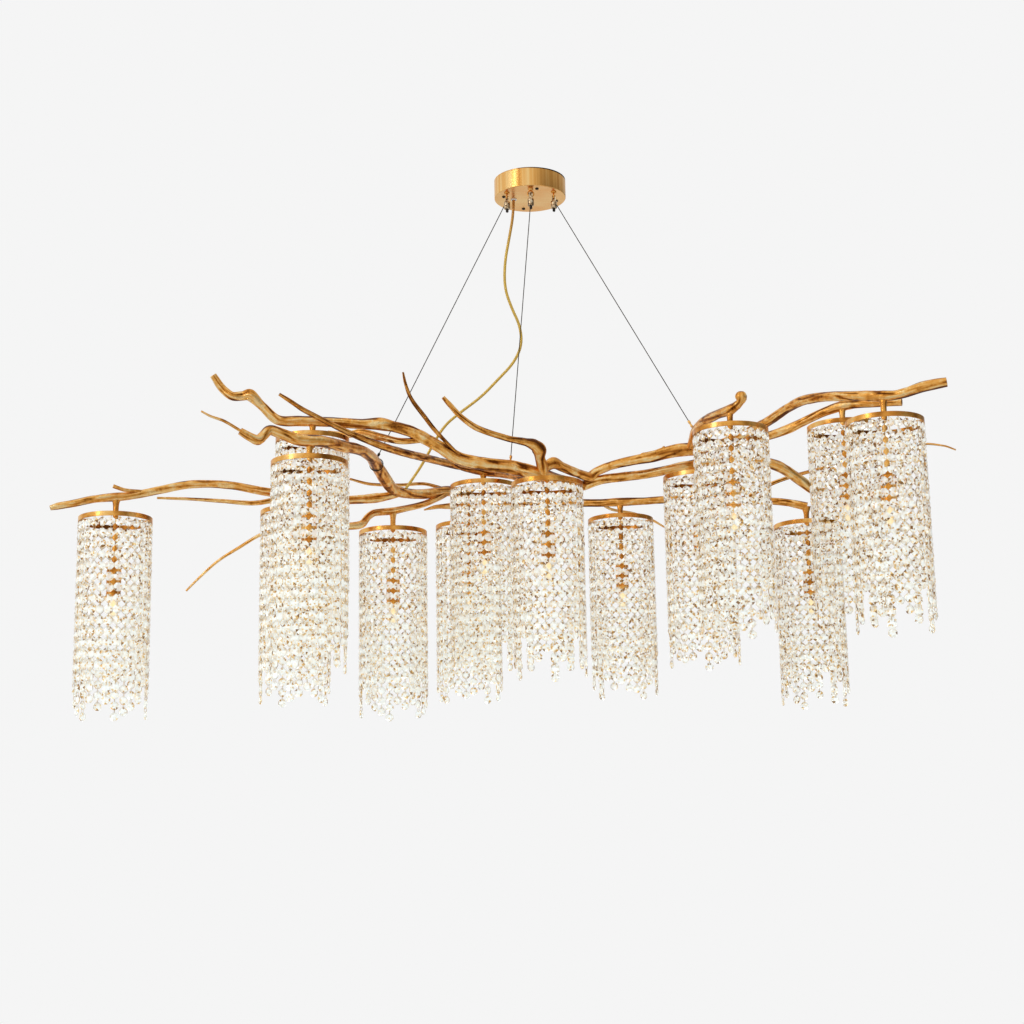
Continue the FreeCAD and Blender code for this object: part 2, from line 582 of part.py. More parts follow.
def canopy_screws():
    """Dark round-headed screws through the canopy's floor into the bracket's posts."""
    floor = canopy_floor()
    screws = []
    for screw in canopy_screw_places():
        head = sided((
            (SCREW_HEAD_DIAMETER / 2, floor),
            (SCREW_HEAD_DIAMETER / 4, floor - SCREW_HEAD_HEIGHT)), screw, SCREW_SIDES)
        screws.append(head.fuse(upright_bar(SCREW_DIAMETER, floor, floor + CANOPY_WALL + SCREW_GRIP,
                                            screw, SCREW_SIDES)))
    return Part.makeCompound(screws)


def terminal_block():
    """Three-way terminal block under the bracket, with its wire ways drilled through."""
    top = -BRACKET_THICKNESS
    block = Part.makeBox(TERMINAL_LENGTH, TERMINAL_WIDTH, TERMINAL_HEIGHT,
                         Vector(-TERMINAL_LENGTH / 2, TERMINAL_Y - TERMINAL_WIDTH / 2,
                                top - TERMINAL_HEIGHT))
    for way in range(TERMINAL_WAYS):
        x = TERMINAL_LENGTH * ((way + 0.5) / TERMINAL_WAYS - 0.5)
        middle = Vector(x, TERMINAL_Y - TERMINAL_WIDTH / 2, top - TERMINAL_HEIGHT / 2)
        block = block.cut(prism(middle, ALONG_Y, UP, TERMINAL_WIRE_HOLE / 2, FITTING_SIDES,
                                TERMINAL_WIDTH))
    return block


def eye_height():
    return canopy_floor() - EYE_BOSS_HEIGHT - EYE_DIAMETER / 2 + EYE_THICKNESS / 2


def eye_stud(stud, axis):
    """Stud through the canopy's floor with its nut inside and an eye below a domed boss."""
    floor = canopy_floor()
    inside = floor + CANOPY_WALL
    boss = sided((
        (EYE_BOSS_DIAMETER / 2, floor),
        (EYE_BOSS_DIAMETER / 4, floor - EYE_BOSS_HEIGHT)), stud, FITTING_SIDES)
    shank = upright_bar(EYE_STUD_DIAMETER, floor, inside + EYE_NUT_HEIGHT, stud, FITTING_SIDES)
    nut = prism(stud + UP * inside, UP, ALONG_X, EYE_NUT_ACROSS / 2, NUT_SIDES, EYE_NUT_HEIGHT)
    middle = stud + UP * eye_height() - axis * (EYE_THICKNESS / 2)
    eye, hole = [prism(middle, axis, UP, diameter / 2, FITTING_SIDES, EYE_THICKNESS)
                 for diameter in (EYE_DIAMETER, EYE_HOLE_DIAMETER)]
    return boss.fuse(shank).fuse(nut).fuse(eye).cut(hole)


def pin_height(name):
    """The side pins hang at the foot of their eyes, the middle one has play both ways."""
    if name == "centre":
        return eye_height()
    apothem = EYE_HOLE_DIAMETER / 2 * math.cos(math.pi / FITTING_SIDES)
    return eye_height() - apothem + PIN_DIAMETER / 2 + PIN_CLEARANCE


def barrel_top():
    return eye_height() - EYE_DIAMETER / 2 - EYE_THICKNESS


def barrel_end():
    return barrel_top() - GRIPPER_LENGTH


def gripper(name):
    """Wire gripper: a barrel with two cheeks and a pin through the eye above it."""
    stud, axis = eye_places()[name]
    other = axis.cross(UP)
    top = barrel_top()
    end = barrel_end()
    radius = GRIPPER_DIAMETER / 2
    room = end + NOSE_IN + NOSE_TRAVEL + NOSE_END_ROOM
    body = sided((
        (radius - GRIPPER_CHAMFER, top), (radius, top - GRIPPER_CHAMFER), (radius, end)),
                 stud, FITTING_SIDES)
    body = body.cut(upright_bar(NOSE_DIAMETER + 2 * NOSE_CLEARANCE, end, room, stud,
                                FITTING_SIDES))
    pin = stud + UP * pin_height(name)
    across = EYE_THICKNESS / 2 + CHEEK_GAP
    for side in (-1, 1):
        near = stud + axis * (side * across) - other * (CHEEK_WIDTH / 2)
        far = near + axis * (side * CHEEK_THICKNESS)
        start = near if side > 0 else far
        head = pin.z + CHEEK_WIDTH / 2
        outline = [start + UP * top, start + other * CHEEK_WIDTH + UP * top,
                   start + other * CHEEK_WIDTH + UP * head, start + UP * head]
        body = body.fuse(Part.Face(closed(outline)).extrude(axis * CHEEK_THICKNESS))
    ends = across + CHEEK_THICKNESS
    rod = prism(pin - axis * ends, axis, UP, PIN_DIAMETER / 2, FITTING_SIDES, 2 * ends)
    return body.fuse(rod)


def gripper_nose(name):
    """Sprung release nose that is pressed up into the gripper to let the wire run."""
    stud = eye_places()[name][0]
    end = barrel_end()
    radius = NOSE_DIAMETER / 2
    return sided((
        (radius, end + NOSE_IN), (radius, end - NOSE_OUT + radius / 2),
        (radius / 2, end - NOSE_OUT)), stud, FITTING_SIDES)


def wire_run(name):
    """Start and end of a wire, from the outer side of its gripper to its ferrule."""
    stud = eye_places()[name][0]
    foot = WIRE_FEET_SHARES[name]
    low = place(foot[0], foot[1], foot[2])
    lean = Vector(stud.x, 0, 0).normalize()
    if name == "centre":
        lean = -ALONG_Y
    start = stud + lean * (GRIPPER_DIAMETER / 2 - WIRE_EDGE) + UP * (barrel_top() - WIRE_EXIT_DROP)
    return start, low


def suspension_wire(name, grip):
    start, low = wire_run(name)
    along = (low - start).normalize()
    head = start - along * WIRE_DIAMETER
    length = (low - head).Length - FERRULE_LENGTH
    first = ALONG_Y.cross(along).normalize()
    return largest(prism(head, along, first, WIRE_DIAMETER / 2, WIRE_SIDES, length).cut(grip))


def wire_ferrule(name, carrier):
    """Pressed ferrule that ends a wire on its casting."""
    start, low = wire_run(name)
    along = (low - start).normalize()
    first = ALONG_Y.cross(along).normalize()
    ferrule = prism(low - along * FERRULE_LENGTH, along, first, FERRULE_DIAMETER / 2, FITTING_SIDES,
                    FERRULE_LENGTH)
    return largest(ferrule.cut(carrier))


def cord_grommet():
    """Pale grommet pressed into the canopy's floor round the cord."""
    floor = canopy_floor()
    middle = Vector(GROMMET_X, GROMMET_Y, 0)
    neck = GROMMET_DIAMETER - GROMMET_LIP
    lip = sided((
        (GROMMET_DIAMETER / 2, floor), (neck / 2, floor - GROMMET_LIP)), middle, FITTING_SIDES)
    collar = upright_bar(neck, floor, floor + CANOPY_WALL, middle, FITTING_SIDES)
    hole = upright_bar(GROMMET_BORE, floor - GROMMET_LIP, floor + CANOPY_WALL, middle,
                       FITTING_SIDES)
    return lip.fuse(collar).cut(hole)


def cord_path(points):
    """Straight runs joined by tangent arcs, and the radius of each arc."""
    edges = []
    radii = []
    start = points[0]
    for before, corner, after in zip(points, points[1:], points[2:]):
        into = corner - before
        away = after - corner
        half_turn = into.getAngle(away) / 2
        reach = CORD_BEND_SHARE * min(into.Length, away.Length)
        radii.append(reach / math.tan(half_turn))
        bend_start = corner - into.normalize() * reach
        bend_end = corner + away.normalize() * reach
        middle = corner + (away - into).normalize() * (
            radii[-1] * (1 / math.cos(half_turn) - 1))
        edges.append(Part.LineSegment(start, bend_start).toShape())
        edges.append(Part.Arc(bend_start, middle, bend_end).toShape())
        start = bend_end
    edges.append(Part.LineSegment(start, points[-1]).toShape())
    return Part.Wire(edges), radii


def power_cord(carrier):
    """Limp mains lead hanging beside the wires, from the grommet to its casting."""
    points = [Vector(*point) for point in CORD_ROUTE]
    path, radii = cord_path(points)
    along = (points[1] - points[0]).normalize()
    across = ALONG_Y.cross(along).normalize()
    section = polygon(points[0], along, across, CORD_DIAMETER / 2, CORD_SIDES)
    tube = path.makePipeShell([section], True, False)
    print("cord length", round(path.Length), "volume over section times length",
          round(tube.Volume / (Part.Face(section).Area * path.Length), 4))
    print("cord radii", [round(radius) for radius in radii])
    return largest(tube.cut(carrier))


def save(name, shape):
    shape.exportStep("parts/" + name + ".step")
    print(name, len(shape.Solids), "solids", round(shape.Volume), "mm3")


def build():
    os.makedirs("parts", exist_ok=True)
    castings = {}
    for name, rows, joins in BRANCHES:
        casting = branch(rows, BRANCH_DIAMETER)
        for other in joins:
            casting = largest(casting.cut(castings[other]))
        castings[name] = casting
        save(name, casting)
    twigs = []
    for name, rows, carrier in TWIGS:
        twigs.append(largest(branch(rows, TWIG_DIAMETER).cut(castings[carrier])))
    save("twigs", Part.makeCompound(twigs))
    stems = []
    for number, shade in enumerate(SHADES, 1):
        save("ring_%02d" % number, shade_ring(shade))
        save("strands_%02d" % number, shade_strands(shade))
        stems.append(lamp_stem(shade, castings))
    save("lamp_stems", Part.makeCompound(stems))
    save("lamp_holders", Part.makeCompound([lamp_holder(shade) for shade in SHADES]))
    save("bulbs", Part.makeCompound([bulb(shade) for shade in SHADES]))
    save("canopy_cup", canopy_cup())
    save("ceiling_bracket", ceiling_bracket())
    save("canopy_screws", canopy_screws())
    save("terminal_block", terminal_block())
    save("eye_studs", Part.makeCompound([eye_stud(stud, axis)
                                         for stud, axis in eye_places().values()]))
    grips = {name: gripper(name) for name in eye_places()}
    save("wire_grippers", Part.makeCompound(list(grips.values())))
    ferrules = []
    for name in eye_places():
        save("gripper_nose_" + name, gripper_nose(name))
        save("wire_" + name, suspension_wire(name, grips[name]))
        ferrules.append(wire_ferrule(name, castings[WIRE_FEET_SHARES[name][3]]))
    save("wire_ferrules", Part.makeCompound(ferrules))
    save("cord_grommet", cord_grommet())
    save("power_cord", power_cord(castings["branch_lower_left"]))


build()
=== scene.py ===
import bpy
import math
import random
from mathutils import Matrix, Vector, noise


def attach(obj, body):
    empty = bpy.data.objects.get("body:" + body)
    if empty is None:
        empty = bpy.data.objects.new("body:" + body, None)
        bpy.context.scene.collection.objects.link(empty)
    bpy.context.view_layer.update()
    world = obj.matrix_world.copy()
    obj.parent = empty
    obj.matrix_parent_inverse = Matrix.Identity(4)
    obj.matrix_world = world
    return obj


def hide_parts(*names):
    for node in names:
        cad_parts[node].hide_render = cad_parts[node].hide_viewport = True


# Branch chandelier with fourteen bead shades under a round canopy, in metres.
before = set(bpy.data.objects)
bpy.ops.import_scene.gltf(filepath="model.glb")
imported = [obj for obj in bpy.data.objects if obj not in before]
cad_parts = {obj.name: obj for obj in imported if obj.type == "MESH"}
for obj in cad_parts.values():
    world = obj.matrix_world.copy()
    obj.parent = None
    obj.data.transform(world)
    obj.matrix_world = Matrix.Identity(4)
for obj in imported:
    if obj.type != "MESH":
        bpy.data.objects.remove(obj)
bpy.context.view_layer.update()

UP = Vector((0, 0, 1))
ORIGIN = Vector((0, 0, 0))
TURN = 2 * math.pi

# Overall frame
FRAME_LENGTH = 1.480
FRAME_DEPTH = 0.700
FRAME_DROP = 0.556
FRAME_SETBACK = 0.040
BRANCH_DIAMETER = 0.0195
TWIG_DIAMETER = 0.015

# Hairline between the canopy's underside and what is seated against it
SEAT_GAP = 0.0001

# Canopy
CANOPY_DIAMETER = 0.126
CANOPY_HEIGHT = 0.034
CANOPY_FLOOR = -CANOPY_HEIGHT
CANOPY_WALL = 0.0015
CANOPY_EDGE_RADIUS = 0.0012
CANOPY_EDGE_STEPS = 6
CANOPY_RIM_EASE = 0.0004
CANOPY_LIP = 0.0012
CANOPY_LIP_SCORE = 0.0003
CANOPY_FLOOR_EASE = 0.0006
CANOPY_AXIS_HOLE = 0.0005
CANOPY_SCREW_CIRCLE = 0.096
CANOPY_SCREW_ANGLE = 14.0
CANOPY_SCREW_COUNT = 4
SCREW_DIAMETER = 0.0029
SCREW_HEAD_DIAMETER = 0.0064
SCREW_HEAD_HEIGHT = 0.0019
SCREW_GRIP = 0.009
# Screw head with its socket: shares of the head's radius and height
SCREW_HEAD_SHARES = ((1.0, 0.3), (0.86, 0.7), (0.55, 1.0), (0.38, 1.0), (0.30, 0.45),
                     (0.06, 0.35))

# Suspension points
EYE_SPREAD = 0.041
EYE_LINE_Y = -0.030
EYE_CENTRE_X = 0.0005
EYE_CENTRE_Y = -0.044
EYE_BOSS_DIAMETER = 0.0098
EYE_BOSS_HEIGHT = 0.003
EYE_DIAMETER = 0.0128
EYE_WIRE = 0.0030
EYE_WIRE_SHARE = 0.96
EYE_STUD_DIAMETER = 0.0038
EYE_NUT_ACROSS = 0.0078
EYE_NUT_HEIGHT = 0.0032
EYE_THICKNESS = 0.002
EYE_HOLE_DIAMETER = 0.0064
EYE_HEIGHT = CANOPY_FLOOR - EYE_BOSS_HEIGHT - EYE_DIAMETER / 2 + EYE_THICKNESS / 2
# Domed boss: share of its radius, and rise from the canopy's underside
EYE_BOSS_STEPS = ((1.0, -SEAT_GAP), (1.0, -0.0008), (0.86, -0.0019), (0.55, -0.0028),
                  (0.30, -EYE_BOSS_HEIGHT))
PIN_DIAMETER = 0.0028
PIN_CLEARANCE = 0.0001
PIN_EASE = 0.0003
PIN_END_SHARE = 0.7
CHEEK_THICKNESS = 0.0015
CHEEK_WIDTH = 0.0069
CHEEK_GAP = 0.0006
CHEEK_SUNK = 0.0002
CHEEK_TRIM = 0.0001
GRIPPER_DIAMETER = 0.0109
GRIPPER_LENGTH = 0.014
GRIPPER_TOP_SHARE = 0.30
BARREL_TOP = EYE_HEIGHT - EYE_DIAMETER / 2 - EYE_THICKNESS
BARREL_END = BARREL_TOP - GRIPPER_LENGTH
NOSE_DIAMETER = 0.0049
NOSE_PLAY = 0.0002
NOSE_OUT = 0.006
NOSE_IN = 0.005
NOSE_TRAVEL = 0.0020
NOSE_END_ROOM = 0.0004
WIRE_DIAMETER = 0.0016
WIRE_EDGE = 0.0016
WIRE_EXIT_DROP = 0.0055
WIRE_SUNK = 0.0012
WIRE_STRANDS = 6
STRANDS_ACROSS_WIRE = 3
WIRE_LAY = 0.010
FERRULE_DIAMETER = 0.0044
FERRULE_LENGTH = 0.020
WIRE_IN_FERRULE = 0.5
# Turned steps: how far in from the radius, and how far up from the level they start at
BARREL_TOP_STEPS = ((0.0015, 0.0), (0.0004, -0.0008), (0.0, -0.0018), (0.0, -0.0045),
                    (0.0004, -0.0048), (0.0004, -0.0054), (0.0, -0.0057))
BARREL_END_STEPS = ((0.0, 0.0012), (0.0008, 0.0))
BARREL_BORE_STEPS = ((-0.0006, 0.0), (0.0, 0.0006), (0.0, NOSE_IN + NOSE_TRAVEL + NOSE_END_ROOM))
NOSE_STEPS = ((0.0, NOSE_IN), (0.0, -0.0010), (0.0003, -0.0013), (0.0003, -0.0018),
              (0.0, -0.0021), (0.0, -0.0042))
# Rounded tip of a nose: share of its radius, and rise from the barrel's end
NOSE_TIP_STEPS = ((0.82, -0.0053), (0.5, 0.0001 - NOSE_OUT), (0.25, 0.0001 - NOSE_OUT))
# Pressed ferrule with two crimps: shares of its radius and length
FERRULE_SHARES = ((0.5, 0.0), (0.9, 0.0), (1.0, 0.02), (1.0, 0.22), (0.72, 0.28), (0.72, 0.42),
                  (1.0, 0.48), (1.0, 0.58), (0.72, 0.64), (0.72, 0.76), (1.0, 0.82), (1.0, 1.0))

# Turn of wire round the casting at the left wire's foot: steps along the casting from the
# foot, and how far the turn stands off it as a share of the wire
TIE_STEPS = 4
TIE_LIFT_SHARE = 0.2

# Power cord and grommet
CORD_DIAMETER = 0.005
CORD_CURVE_STEPS = 12
CORD_CURVE_ORDER = 3
CORD_ROUNDNESS = 5
GROMMET_X = -0.029
GROMMET_Y = 0.001
GROMMET_DIAMETER = 0.0109
GROMMET_LIP = 0.002
GROMMET_BORE = 0.0066
GROMMET_LIP_STEPS = ((0.0, -SEAT_GAP), (0.0, -0.0009), (0.0005, -0.0016))
GROMMET_NECK_STEPS = ((0.0008, -GROMMET_LIP),)
GROMMET_BORE_STEPS = ((-0.0003, -GROMMET_LIP), (0.0, 0.0004 - GROMMET_LIP), (0.0, CANOPY_WALL))

# Shades
RING_DIAMETER = 0.120
BAND_HEIGHT = 0.008
BAND_THICKNESS = 0.0016
BAND_EASE = 0.0004
STRANDS_PER_SHADE = 26
BEAD_PITCH = 0.018
BEAD_WIDTH = 0.0138
BEAD_THICKNESS = 0.0050
BEAD_GIRDLE = 0.0014
BEAD_SIDES = 8
BEAD_SET_IN = 0.0011
BEAD_TABLE_SHARE = 0.50
BEAD_YAW = 0.16
BEAD_LEAN = 0.05
SHORTEST_STRAND_BEADS = 14
TIGHTEST_PITCH = 0.985
LINK_WIRE = 0.0007
LINK_REACH = 0.0026
LINK_SET_IN = 0.0006
FIRST_LINK_DROP = 0.0016
CROSSBAR_WIDTH = 0.008
CROSSBAR_THICKNESS = 0.002
HUB_DIAMETER = 0.0178

# Lamps
STEM_WAIST_DIAMETER = 0.0093
STEM_FOOT_DIAMETER = 0.0148
STEM_WAIST_SHARE = 0.45
STEM_OVERLAP = 0.001
TUBE_DIAMETER = 0.0088
TUBE_LENGTH = 0.074
TUBE_LEVELS = (-0.0030, -0.0050, -TUBE_LENGTH)
# Foot of a stem: radius, and rise from the crossbar's top
STEM_FOOT_ROWS = (
    (STEM_WAIST_DIAMETER / 2, 0.0052), (STEM_WAIST_DIAMETER / 2 * 1.25, 0.0040),
    (STEM_FOOT_DIAMETER / 2, 0.0016), (STEM_FOOT_DIAMETER / 2, 0.0002), (TUBE_DIAMETER / 2, 0.0))
# Flared top of a stem: share of its rise, and how much it spreads along the casting there
FLARE_SHARES = ((1.0, 1.9), (0.75, 1.55), (0.5, 1.18), (0.25, 1.03), (0.0, 1.0))
HOLDER_DIAMETER = 0.0238
HOLDER_CAP_DIAMETER = 0.0148
HOLDER_CAP_HEIGHT = 0.007
HOLDER_CAP_BORE_SHARE = 0.6
HOLDER_LENGTH = 0.053
SOCKET_DEPTH = 0.007
SOCKET_CLEARANCE = 0.0003
# Turned steps of a holder, in from the radius and up from the level, as above
CAP_TOP_STEPS = ((0.0007, 0.0), (0.0, -0.0007))
CAP_FOOT_STEPS = ((0.0, 0.0007), (-0.0007, 0.0))
HOLDER_TOP_STEPS = ((0.002, 0.0), (0.0007, -0.0007), (0.0, -0.003), (0.0, -0.010),
                    (0.0007, -0.0105), (0.0007, -0.0115), (0.0, -0.012))
HOLDER_END_STEPS = ((0.0, 0.008), (0.0007, 0.0075), (0.0007, 0.0065), (0.0, 0.006),
                    (0.0, 0.0007), (0.0007, 0.0), (0.0022, 0.0), (0.0028, 0.0012))
MOUTH_RIM_STEPS = ((0.0026, 0.0014), (0.0026, 0.0008))
MOUTH_BORE_STEPS = ((-0.0012, 0.0006), (0.0, 0.0012), (0.0, SOCKET_DEPTH))
BULB_DIAMETER = 0.0148
BULB_LENGTH = 0.0398
BULB_PINCH_SHARE = 0.8
BULB_PINCH_HEIGHT = 0.0008
BULB_DOME_STEPS = 6
BULB_TIP_SHARE = 0.09
FILAMENT_RADIUS = 0.0003
COIL_RADIUS = 0.0016
COIL_START = 0.008
COIL_FALL = 0.00038
COIL_STEPS = 48
COIL_STEPS_PER_TURN = 8

# The view that the branches were set out on, and the shares of the frame's length that
# say where its eye is.
VIEW_MIDDLE_PIXELS = 512.0
VIEW_FOCAL_PIXELS = 1800.0
VIEW_PITCH = math.radians(12.0)
VIEW_ROLL = math.radians(1.0)
EYE_ACROSS_SHARE = -0.0282
EYE_AWAY_SHARE = 2.0027
EYE_LEVEL_SHARE = 0.4615
VIEW_EYE = (EYE_ACROSS_SHARE * FRAME_LENGTH, -EYE_AWAY_SHARE * FRAME_LENGTH - FRAME_SETBACK,
            -EYE_LEVEL_SHARE * FRAME_LENGTH - FRAME_DROP)
SENSOR_WIDTH = 36.0

# Each row of a branch: column, row, depth as a share of the frame's depth, girth share.
UPPER_LEFT_SHARES = (
    (213, 375, -0.23, 0.60), (222, 388, -0.22, 0.70), (232, 396, -0.22, 0.74),
    (242, 396, -0.21, 0.84), (250, 395, -0.21, 1.08), (262, 406, -0.20, 0.80),
    (278, 420, -0.19, 0.86), (300, 421, -0.18, 0.92), (330, 422, -0.165, 0.88),
    (360, 424, -0.15, 0.90), (380, 424, -0.14, 1.12), (395, 427, -0.13, 0.98),
    (412, 432, -0.12, 1.05), (440, 447, -0.105, 1.10), (460, 459, -0.09, 1.15),
    (485, 464, -0.08, 1.20), (515, 468, -0.065, 1.25), (540, 475, -0.055, 1.35),
    (560, 480, -0.01, 1.00), (583, 486, 0.05, 0.95))
LOWER_LEFT_SHARES = (
    (240, 431, -0.43, 0.62), (250, 437, -0.42, 0.72), (258, 440, -0.41, 0.84),
    (263, 436, -0.40, 0.80), (270, 430, -0.39, 0.84), (282, 434, -0.38, 0.92),
    (300, 440, -0.365, 1.00), (320, 441, -0.345, 0.98), (342, 446, -0.26, 1.00),
    (360, 450, -0.17, 0.96), (370, 456, -0.09, 1.00), (378, 467, 0.01, 1.15),
    (386, 480, 0.09, 1.20), (393, 489, 0.15, 1.05), (405, 493, 0.20, 0.95),
    (425, 494, 0.28, 0.95), (448, 491, 0.355, 1.00), (470, 496, 0.41, 0.85),
    (492, 503, 0.425, 0.75))
MIDDLE_LEFT_SHARES = (
    (279, 394, -0.30, 0.27), (290, 401, -0.29, 0.36), (302, 409, -0.27, 0.43),
    (322, 419.6, -0.24, 0.46), (342, 429.6, -0.215, 0.48), (362, 438.4, -0.175, 0.56),
    (385, 447, -0.12, 0.67), (405, 453, -0.05, 0.70), (430, 459, 0.06, 0.72),
    (455, 465, 0.17, 0.76), (484, 472, 0.257, 0.77), (505, 474.5, 0.17, 0.70),
    (522, 477, 0.05, 0.76), (536, 476, -0.045, 0.72))
PALE_TWIG_SHARES = (
    (328, 432, -0.07, 0.38), (345, 435, -0.08, 0.75), (362, 433, -0.09, 1.00),
    (380, 437, -0.10, 0.90), (400, 441, -0.11, 0.75), (424, 440, -0.114, 0.62))
TALL_TWIG_SHARES = (
    (403, 372, -0.23, 0.22), (405, 382, -0.225, 0.34), (409, 394, -0.215, 0.42),
    (414, 403, -0.20, 0.50), (424, 416, -0.175, 0.50), (434, 429, -0.145, 0.48),
    (448, 444, -0.12, 0.42), (464, 460, -0.09, 0.40))
KNEE_BRANCH_SHARES = (
    (443, 397, -0.19, 0.34), (450, 405, -0.185, 0.46), (460, 416, -0.18, 0.50),
    (475, 427, -0.17, 0.55), (490, 433, -0.16, 0.55), (510, 439, -0.14, 0.58),
    (525, 442, -0.12, 0.72), (534, 445, -0.11, 1.05), (539, 450, -0.10, 1.30),
    (540, 458, -0.09, 0.92), (542, 466, -0.075, 0.98), (543, 474, -0.057, 1.05))
FAR_LEFT_SHARES = (
    (50, 508, -0.16, 0.44), (58, 506, -0.155, 0.63), (75, 503, -0.145, 0.65),
    (95, 499, -0.13, 0.70), (115, 497, -0.113, 0.79), (135, 495, -0.10, 0.70),
    (160, 490, -0.08, 0.72), (185, 485, -0.06, 0.74), (210, 484, -0.045, 0.70),
    (235, 486, -0.025, 0.72), (262, 491, 0.0, 0.76), (296, 496, 0.029, 0.84),
    (325, 500, 0.07, 0.79), (350, 500, 0.11, 0.77), (376, 498, 0.15, 0.92),
    (388, 496, 0.165, 0.75), (400, 493, 0.18, 0.70))
FRONT_LOW_SHARES = (
    (340, 526, 0.12, 0.52), (352, 526, 0.13, 0.69), (362, 524, 0.14, 0.71),
    (368, 517, 0.155, 0.67), (374, 513, 0.17, 0.64), (393, 511, 0.214, 0.69),
    (408, 508, 0.24, 0.62), (424, 504, 0.28, 0.60), (438, 498, 0.32, 0.60),
    (449, 492, 0.355, 0.57))
REAR_LONG_SHARES = (
    (424, 510, 0.41, 0.15), (436, 507, 0.42, 0.42), (452, 506, 0.435, 0.60),
    (468, 505, 0.443, 0.72), (492, 504, 0.43, 0.80), (530, 504, 0.42, 0.76),
    (570, 503, 0.41, 0.78), (600, 503, 0.40, 0.76), (620, 502, 0.395, 0.84),
    (645, 501, 0.39, 0.74), (680, 499, 0.38, 0.72), (720, 499, 0.36, 0.74),
    (771, 501, 0.34, 0.72), (790, 503, 0.33, 0.74), (807, 507, 0.324, 0.86))
UPPER_RIGHT_SPINE_SHARES = (
    (545, 468, -0.058, 0.80), (553, 463, -0.05, 1.05), (562, 467, -0.03, 0.85),
    (577, 473, 0.01, 0.82), (590, 477, 0.045, 0.95), (596, 472, 0.045, 0.78),
    (610, 466, 0.04, 0.78), (630, 461, 0.035, 0.86), (652, 457, 0.03, 0.98),
    (665, 453, 0.028, 1.10), (680, 450, 0.028, 1.20), (697, 449, 0.028, 1.20),
    (706, 450, 0.03, 0.90))
LOWER_RIGHT_SHARES = (
    (583, 486, 0.05, 0.88), (600, 480, 0.055, 0.84), (620, 477, 0.055, 0.86),
    (640, 475, 0.06, 0.84), (662, 471, 0.06, 0.84), (685, 466, 0.065, 0.92),
    (712, 462, 0.075, 0.88), (740, 460, 0.085, 0.86), (768, 463, 0.095, 0.96),
    (780, 467, 0.11, 1.00), (790, 473, 0.13, 0.96), (801, 481, 0.155, 1.02),
    (812, 489, 0.18, 0.90), (834, 494, 0.22, 0.60))
BALL_BRANCH_SHARES = (
    (692, 448, 0.025, 0.95), (693, 440, -0.01, 0.80), (695, 432, -0.06, 0.84),
    (700, 425, -0.12, 0.82), (708, 419, -0.18, 0.86), (719, 414, -0.24, 0.80),
    (730, 410, -0.277, 0.90), (736, 406, -0.29, 0.78), (740, 402, -0.30, 0.66),
    (741, 399, -0.302, 0.96), (741, 396, -0.303, 1.02), (741, 393, -0.304, 0.80),
    (741, 391, -0.305, 0.35))
HIGH_RIGHT_SHARES = (
    (699, 449, 0.022, 0.95), (718, 445, -0.01, 0.86), (738, 437, -0.05, 0.84),
    (757, 428, -0.09, 0.90), (772, 419, -0.13, 0.84), (788, 408, -0.18, 0.80),
    (802, 401, -0.23, 0.86), (822, 397, -0.29, 0.82), (850, 396, -0.36, 0.84),
    (884, 396, -0.426, 0.95), (896, 395, -0.435, 0.80), (907, 392, -0.445, 0.84),
    (922, 387, -0.455, 0.90), (936, 384, -0.46, 0.86), (947, 382, -0.465, 0.80))
MIDDLE_RIGHT_SHARES = (
    (694, 450, 0.03, 0.80), (722, 446, 0.045, 0.70), (745, 442, 0.03, 0.72),
    (768, 436, 0.02, 0.78), (786, 430, 0.01, 0.84), (803, 422, -0.01, 0.78),
    (822, 413, -0.035, 0.80), (842, 406, -0.057, 0.90), (858, 404, -0.075, 0.74),
    (880, 403, -0.10, 0.76), (902, 402, -0.12, 0.70))
FORK_TWIG_SHARES = (
    (201, 411, -0.46, 0.20), (210, 416, -0.455, 0.26), (224, 421, -0.445, 0.32),
    (244, 433, -0.43, 0.34))
SPUR_TWIG_SHARES = (
    (350, 479, 0.22, 0.30), (370, 484, 0.26, 0.38), (400, 485, 0.30, 0.42),
    (425, 484, 0.335, 0.42), (447, 490, 0.355, 0.45))
FAR_LEFT_TWIG_SHARES = (
    (113, 486, -0.13, 0.46), (125, 490, -0.12, 0.42), (148, 492, -0.09, 0.42))
NEEDLE_TWIG_SHARES = (
    (157, 498, -0.13, 0.27), (190, 499, -0.10, 0.35), (222, 501, -0.07, 0.46),
    (256, 503, -0.03, 0.59), (290, 496, 0.022, 0.70))
ROOT_TWIG_SHARES = (
    (186, 591, 0.19, 0.24), (200, 577, 0.185, 0.30), (218, 561, 0.18, 0.34),
    (240, 547, 0.175, 0.38), (262, 534, 0.17, 0.40), (300, 524, 0.155, 0.44),
    (350, 526, 0.127, 0.48))
REAR_TWIG_SHARES = (
    (600, 503, 0.40, 0.36), (612, 509.5, 0.44, 0.36), (634, 513.5, 0.47, 0.34),
    (652, 520, 0.48, 0.32), (665, 527.5, 0.48, 0.24))
LONG_NEEDLE_SHARES = (
    (745, 499, 0.352, 0.53), (771, 484, 0.34, 0.51), (797, 475, 0.33, 0.46),
    (840, 464, 0.31, 0.42), (890, 452, 0.28, 0.35), (925, 444, 0.26, 0.29),
    (945, 446, 0.25, 0.24), (956, 450, 0.245, 0.20))

# A bent sliver that lies along the top of the right spine
SLIVER_SHARES = (
    (641, 456.6, 0.026, 0.22), (642, 454.4, 0.025, 0.26), (647, 453.4, 0.024, 0.26),
    (655, 451.6, 0.022, 0.26), (660, 450.4, 0.021, 0.24), (664, 447.4, 0.020, 0.26),
    (665, 446.6, 0.020, 0.18))

